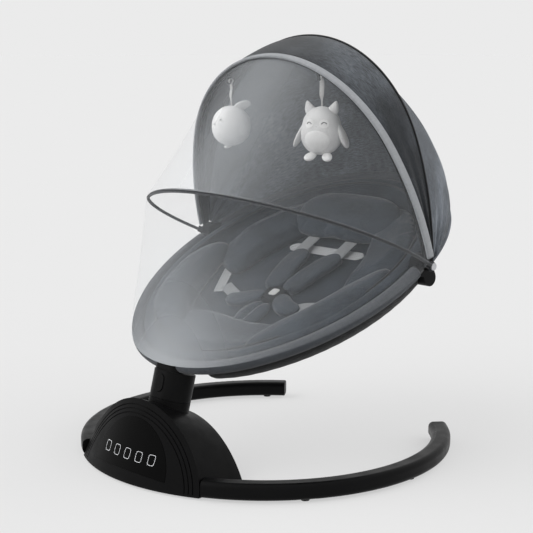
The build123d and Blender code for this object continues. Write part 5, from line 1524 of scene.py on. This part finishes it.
@dataclass
class Owl(Toy):
    """White plush owl with ear tufts, wings, belly patch, feet and a sewn face."""

    neck: float = 0.035
    eye_turn: float = 0.40
    lash: float = 0.0006

    def build_body(self) -> None:
        """Makes the stuffed body, its ear tufts and its belly patch, which swells from the skin."""
        self.plush_body("owl_plush_body", "toy_grey", "owl_body")
        for side, name in TOY_SIDES:
            axes = ((side * 0.42, 0, 1), (1, 0, 0), (0, 1, 0))
            ear = Lobe((side * 0.0165, 0.0, -0.0050), axes, (0.0140, 0.0088, 0.0060), 0.5)
            self.lobe(f"owl_{name}_ear", ear, "toy_grey", "plush_white")
        turn, level, span = self.disc((0.0, 0.70), (0.68, 0.225), 14, 40)
        swell = np.sqrt(np.clip(1 - span**4, 0, 1))[..., None]
        points = self.skin(turn, level) * (1 - swell) + self.skin(turn, level, 1.035) * swell
        piece = grid_piece("owl_belly", points, wrap=True)
        self.fit(piece, "toy_white", "plush_white", self.body)

    def build_limbs(self) -> None:
        """Makes the two wings and the two feet, whose solids are named from the front."""
        for side, name in TOY_SIDES:
            cad = "right" if side > 0 else "left"
            axes = ((side * 0.42, 0, -1), (0, 1, 0), (1, 0, 0.3))
            wing = Lobe((side * 0.0320, -0.002, -0.0410), axes, (0.0205, 0.0120, 0.0050), -0.25)
            self.lobe(f"owl_{name}_flap", wing, "toy_grey", "plush_grey", f"owl_{cad}_wing")
            axes = ((side * 0.25, -1, -0.35), (1, 0, 0), (0, 0, 1))
            foot = Lobe((side * 0.0122, -0.0125, -0.0715), axes, (0.0125, 0.0075, 0.0050), -0.3)
            self.lobe(f"owl_{name}_paw", foot, "toy_white", "plush_white", f"owl_{cad}_foot")

    def build_face(self) -> None:
        """Sews two closed smiling eyes on pale rounds, and a small beak."""
        across = np.linspace(-1, 1, 16)
        for side, name in TOY_SIDES:
            turn, level, _ = self.disc((side * self.eye_turn, 0.335), (0.27, 0.088), 8, 28)
            cheek = grid_piece(f"owl_{name}_cheek", self.skin(turn, level, 1.028), wrap=True)
            self.fit(cheek, "toy_white", "plush_white", self.body)
            smile = 0.345 - 0.036 * (1 - across**2)
            path = self.skin(side * self.eye_turn + 0.14 * across, smile, 1.034)
            thread = sweep(path, ring(8, self.lash, self.lash), (0, 0, 1))
            self.fit(solid_piece(f"owl_{name}_eye", thread), "eye_black", "strap", self.body)
        axes = ((0, -0.2, -1), (1, 0, 0), (0, 1, 0))
        beak = Lobe((0.0, -0.0272, -0.0292), axes, (0.0031, 0.0020, 0.0018), 0.4, 12, soft=False)
        self.lobe("owl_beak", beak, "eye_black", "strap")

    def build(self) -> None:
        """Makes the whole owl."""
        self.build_body()
        self.build_limbs()
        self.build_face()
        self.ribbon("owl_ribbon", "owl_strap")


@dataclass
class Bird(Toy):
    """White plush bird, nearly round, with a raised tail, a beak, dot eyes and a small foot."""

    height: float = 0.063
    belly: float = 0.52
    roundness: float = 2.2
    eye_turn: float = 0.42
    eye_level: float = 0.33
    eye: float = 0.0014

    def build_sides(self) -> None:
        """Makes the two flaps and the dot eyes, which are small spheres."""
        around = np.linspace(0, 2 * np.pi, 14, endpoint=False)[None]
        lift = np.linspace(0.1, np.pi - 0.1, 10)[:, None]
        rise = -np.cos(lift) * np.ones_like(around)
        dot = np.stack((np.sin(lift) * np.cos(around), np.sin(lift) * np.sin(around), rise), axis=-1)
        for side, name in TOY_SIDES:
            axes = ((0, 0.25, -1), (0, 1, 0.2), (1, 0, 0))
            flap = Lobe((side * 0.0288, 0.004, -0.033), axes, (0.0130, 0.0085, 0.0030), -0.2)
            self.lobe(f"bird_{name}_flap", flap, "toy_grey", "plush_grey")
            middle = self.skin(side * self.eye_turn, self.eye_level)
            piece = solid_piece(f"bird_{name}_eye", middle + self.eye * dot)
            self.fit(piece, "eye_black", "strap", self.body)

    def build(self) -> None:
        """Makes the whole bird."""
        self.plush_body("bird_plush_body", "toy_white", "bird_body")
        axes = ((0.80, 0.35, 0.40), (0, 1, -0.4), (0, 0.4, 1))
        tail = Lobe((0.0165, 0.0080, -0.0005), axes, (0.0165, 0.0095, 0.0040), -0.2)
        self.lobe("bird_tail", tail, "toy_grey", "plush_grey", "bird_wing")
        self.build_sides()
        axes = ((0, -1, -0.15), (1, 0, 0), (0, 0, 1))
        beak = Lobe((0.0, -0.0283, -0.0275), axes, (0.0048, 0.0034, 0.0028), 0.55, 14, soft=False)
        self.lobe("bird_beak", beak, "toy_grey", "plush_grey")
        axes = ((0, -1, -0.1), (1, 0, 0), (0, 0, 1))
        foot = Lobe((0.0, -0.006, -0.0638), axes, (0.0065, 0.0042, 0.0026), -0.2, 14, soft=False)
        self.lobe("bird_foot", foot, "toy_white", "plush_white")
        self.ribbon("bird_ribbon", "bird_strap")


@dataclass
class ControlDeck(Maker):
    """Printed key outlines on the gloss panel."""

    ring_y: float = 0.0
    ring_radius: float = 0.285
    proud: float = 0.00055
    lean_deg: float = 21.0
    keys: int = 5
    pitch: float = 0.0245
    level: float = 0.0405
    width: float = 0.0063
    height: float = 0.0072
    line: float = 0.0007
    ink: float = 0.00012

    def build(self) -> None:
        """Makes each key's outline: a rounded band laid on the panel's leaning round face."""
        corners = ((0.0, 0.0), (0.0, self.ink), (self.line, self.ink), (self.line, 0.0))
        for key in range(self.keys):
            middle = (key - (self.keys - 1) / 2) * self.pitch
            rows = []
            for inset, lift in corners:
                outline = ring(48, self.width - inset, self.height - inset, 4.5)
                x = middle + outline[:, 0]
                z = self.level + outline[:, 1]
                radius = self.ring_radius + self.proud + lift - z * math.tan(math.radians(self.lean_deg))
                rows.append(np.stack((x, self.ring_y - np.sqrt(radius**2 - x**2), z), axis=1))
            band = np.stack(rows)
            piece = grid_piece(f"key_outline_{key + 1}", np.concatenate((band, band[:1])), wrap=True)
            self.fit(piece, "key_ink", "pale_plastic", Body.BASE)
        LOG.info("printed %d keys", self.keys)


@dataclass
class Studio:
    """Pale floor, soft light and the camera."""

    azimuth_deg: float = 46.5
    pitch_deg: float = 9.62
    distance: float = 2.0
    ring_y: float = 0.0
    target: tuple[float, float, float] = (0.0008, 0.0009, 0.277)
    lens_px: float = 1311.7
    image_px: float = 533.0
    background: float = 0.83
    sky: float = 0.22
    zenith: float = -0.3
    left_box: float = 2.5
    left_rise: float = 0.35
    right_box: float = 2.4
    right_rise: float = 0.25
    key: float = 0.3
    key_spread_deg: float = 50.0
    key_tilt_deg: float = 42.0
    key_turn_deg: float = -62.0
    paper: float = 0.26
    glow: float = 0.53
    bounce: float = 0.34
    floor_half: float = 60.0
    sensor_mm: float = 36.0

    def build_world(self) -> None:
        """Lights the scene evenly, and shows the plain background to the camera and in reflections."""
        world = bpy.data.worlds.new("studio")
        bpy.context.scene.world = world
        world.use_nodes = True
        nodes = Nodes(world.node_tree)
        nodes.tree.nodes.clear()
        shown = {"Color": WHITE, "Strength": self.background}
        given = {"Color": WHITE, "Strength": self.softboxes(nodes)}
        plain = nodes.add("ShaderNodeBackground", shown).outputs[0]
        light = nodes.add("ShaderNodeBackground", given).outputs[0]
        mix = nodes.add("ShaderNodeMixShader", {"Fac": nodes.looked_at(), 1: light, 2: plain})
        nodes.add("ShaderNodeOutputWorld", {"Surface": mix.outputs[0]})

    def softboxes(self, nodes: Nodes) -> bpy.types.NodeSocket:
        """Adds to an even sky the squared cosine to each softbox's direction.

        Args:
            nodes: The world's node tree.

        Returns:
            The light's strength by direction.
        """
        turn = math.radians(self.azimuth_deg)
        left = (-math.cos(turn), -math.sin(turn), self.left_rise)
        right = (math.cos(turn), math.sin(turn), self.right_rise)
        boxes = ((left, self.left_box), (right, self.right_box), ((0, 0, 1), self.zenith))
        toward = nodes.add("ShaderNodeTexCoord").outputs["Generated"]
        total = self.sky
        for heading, strength in boxes:
            ends = {0: toward, 1: tuple(np.array(heading) / np.linalg.norm(heading))}
            facing = nodes.add("ShaderNodeVectorMath", ends, operation="DOT_PRODUCT").outputs["Value"]
            shine = nodes.sums("POWER", nodes.sums("MAXIMUM", facing), 2.0)
            total = nodes.sums("ADD", nodes.sums("MULTIPLY", shine, strength), total)
        return total

    def build_lamps(self) -> None:
        """Hangs a broad key lamp high on the left."""
        lamp = bpy.data.lights.new("key_lamp", "SUN")
        lamp.energy = self.key
        lamp.angle = math.radians(self.key_spread_deg)
        piece = bpy.data.objects.new("key_lamp", lamp)
        heading = math.radians(self.azimuth_deg + self.key_turn_deg)
        piece.rotation_euler = (math.radians(self.key_tilt_deg), 0.0, heading)
        bpy.context.scene.collection.objects.link(piece)

    def build_floor(self) -> None:
        """Lays the pale floor, as bright as the background where nothing shades it."""
        ends = (-self.floor_half, self.floor_half)
        across, along = np.meshgrid(ends, ends)
        floor = grid_piece("floor", np.stack((across, along, np.zeros_like(across)), axis=-1))
        graph = Graph("floor_paper", Roughness=1.0, Specular_IOR_Level=0.0, Emission_Color=WHITE)
        where = graph.place(Space.SOLID)
        dark, light = shade((self.paper,) * 3, 0.99), shade((self.paper,) * 3, 1.01)
        grain = graph.blend(graph.noise(where, 3.0), dark, light)
        seen = graph.looked_at()
        graph.colour(graph.blend(seen, (self.bounce,) * 3, grain))
        glow = graph.sums("MULTIPLY", seen, self.glow)
        graph.tree.links.new(glow, graph.shader.inputs["Emission Strength"])
        floor.data.materials.append(graph.material)

    def build_camera(self) -> None:
        """Sets the camera at the photograph's angle, distance and lens."""
        turn, pitch = math.radians(self.azimuth_deg), math.radians(self.pitch_deg)
        level = math.cos(pitch)
        back = np.array((math.sin(turn) * level, -math.cos(turn) * level, math.sin(pitch)))
        data = bpy.data.cameras.new("camera")
        data.sensor_width = self.sensor_mm
        data.lens = self.sensor_mm * self.lens_px / self.image_px
        camera = bpy.data.objects.new("camera", data)
        camera.location = np.array(self.target) + (0.0, self.ring_y, 0.0) + self.distance * back
        camera.rotation_euler = (math.pi / 2 - pitch, 0.0, turn)
        bpy.context.scene.collection.objects.link(camera)
        bpy.context.scene.camera = camera

    def build(self) -> None:
        """Sets up the whole studio."""
        self.build_world()
        self.build_lamps()
        self.build_floor()
        self.build_camera()
        bpy.context.scene.view_settings.view_transform = "Standard"


def joint_place(frame: dict, name: str) -> tuple[float, float, float]:
    """Finds a joint's place in the record."""
    return tuple(next(joint["pos_m"] for joint in frame["joints"] if joint["name"] == name))


def main() -> None:
    """Builds every sub-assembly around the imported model."""
    logging.basicConfig(level=logging.INFO, format="%(message)s")
    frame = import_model()
    ring_y = joint_place(frame, "swing_turn")[1] + POST_AHEAD
    Studio(ring_y=ring_y).build()
    wardrobe = Wardrobe()
    wardrobe.dress_nodes(frame["nodes"])
    wardrobe.dress(frame["nodes"]["net_hoop"], "hoop_cover")
    layout = Layout(joint_place(frame, "hood_fold"))
    assemblies = (
        Shell(layout, wardrobe),
        Liner(layout, wardrobe),
        Harness(layout, wardrobe),
        Hood(layout, wardrobe),
        InsectNet(layout, wardrobe),
        Owl(layout, wardrobe, Body.OWL, joint_place(frame, "owl_swing"), 28.0, 0.042),
        Bird(layout, wardrobe, Body.BIRD, joint_place(frame, "bird_swing"), -10.0, 0.038),
        ControlDeck(layout, wardrobe, ring_y),
    )
    for assembly in assemblies:
        assembly.build()


if __name__ == "__main__":
    main()
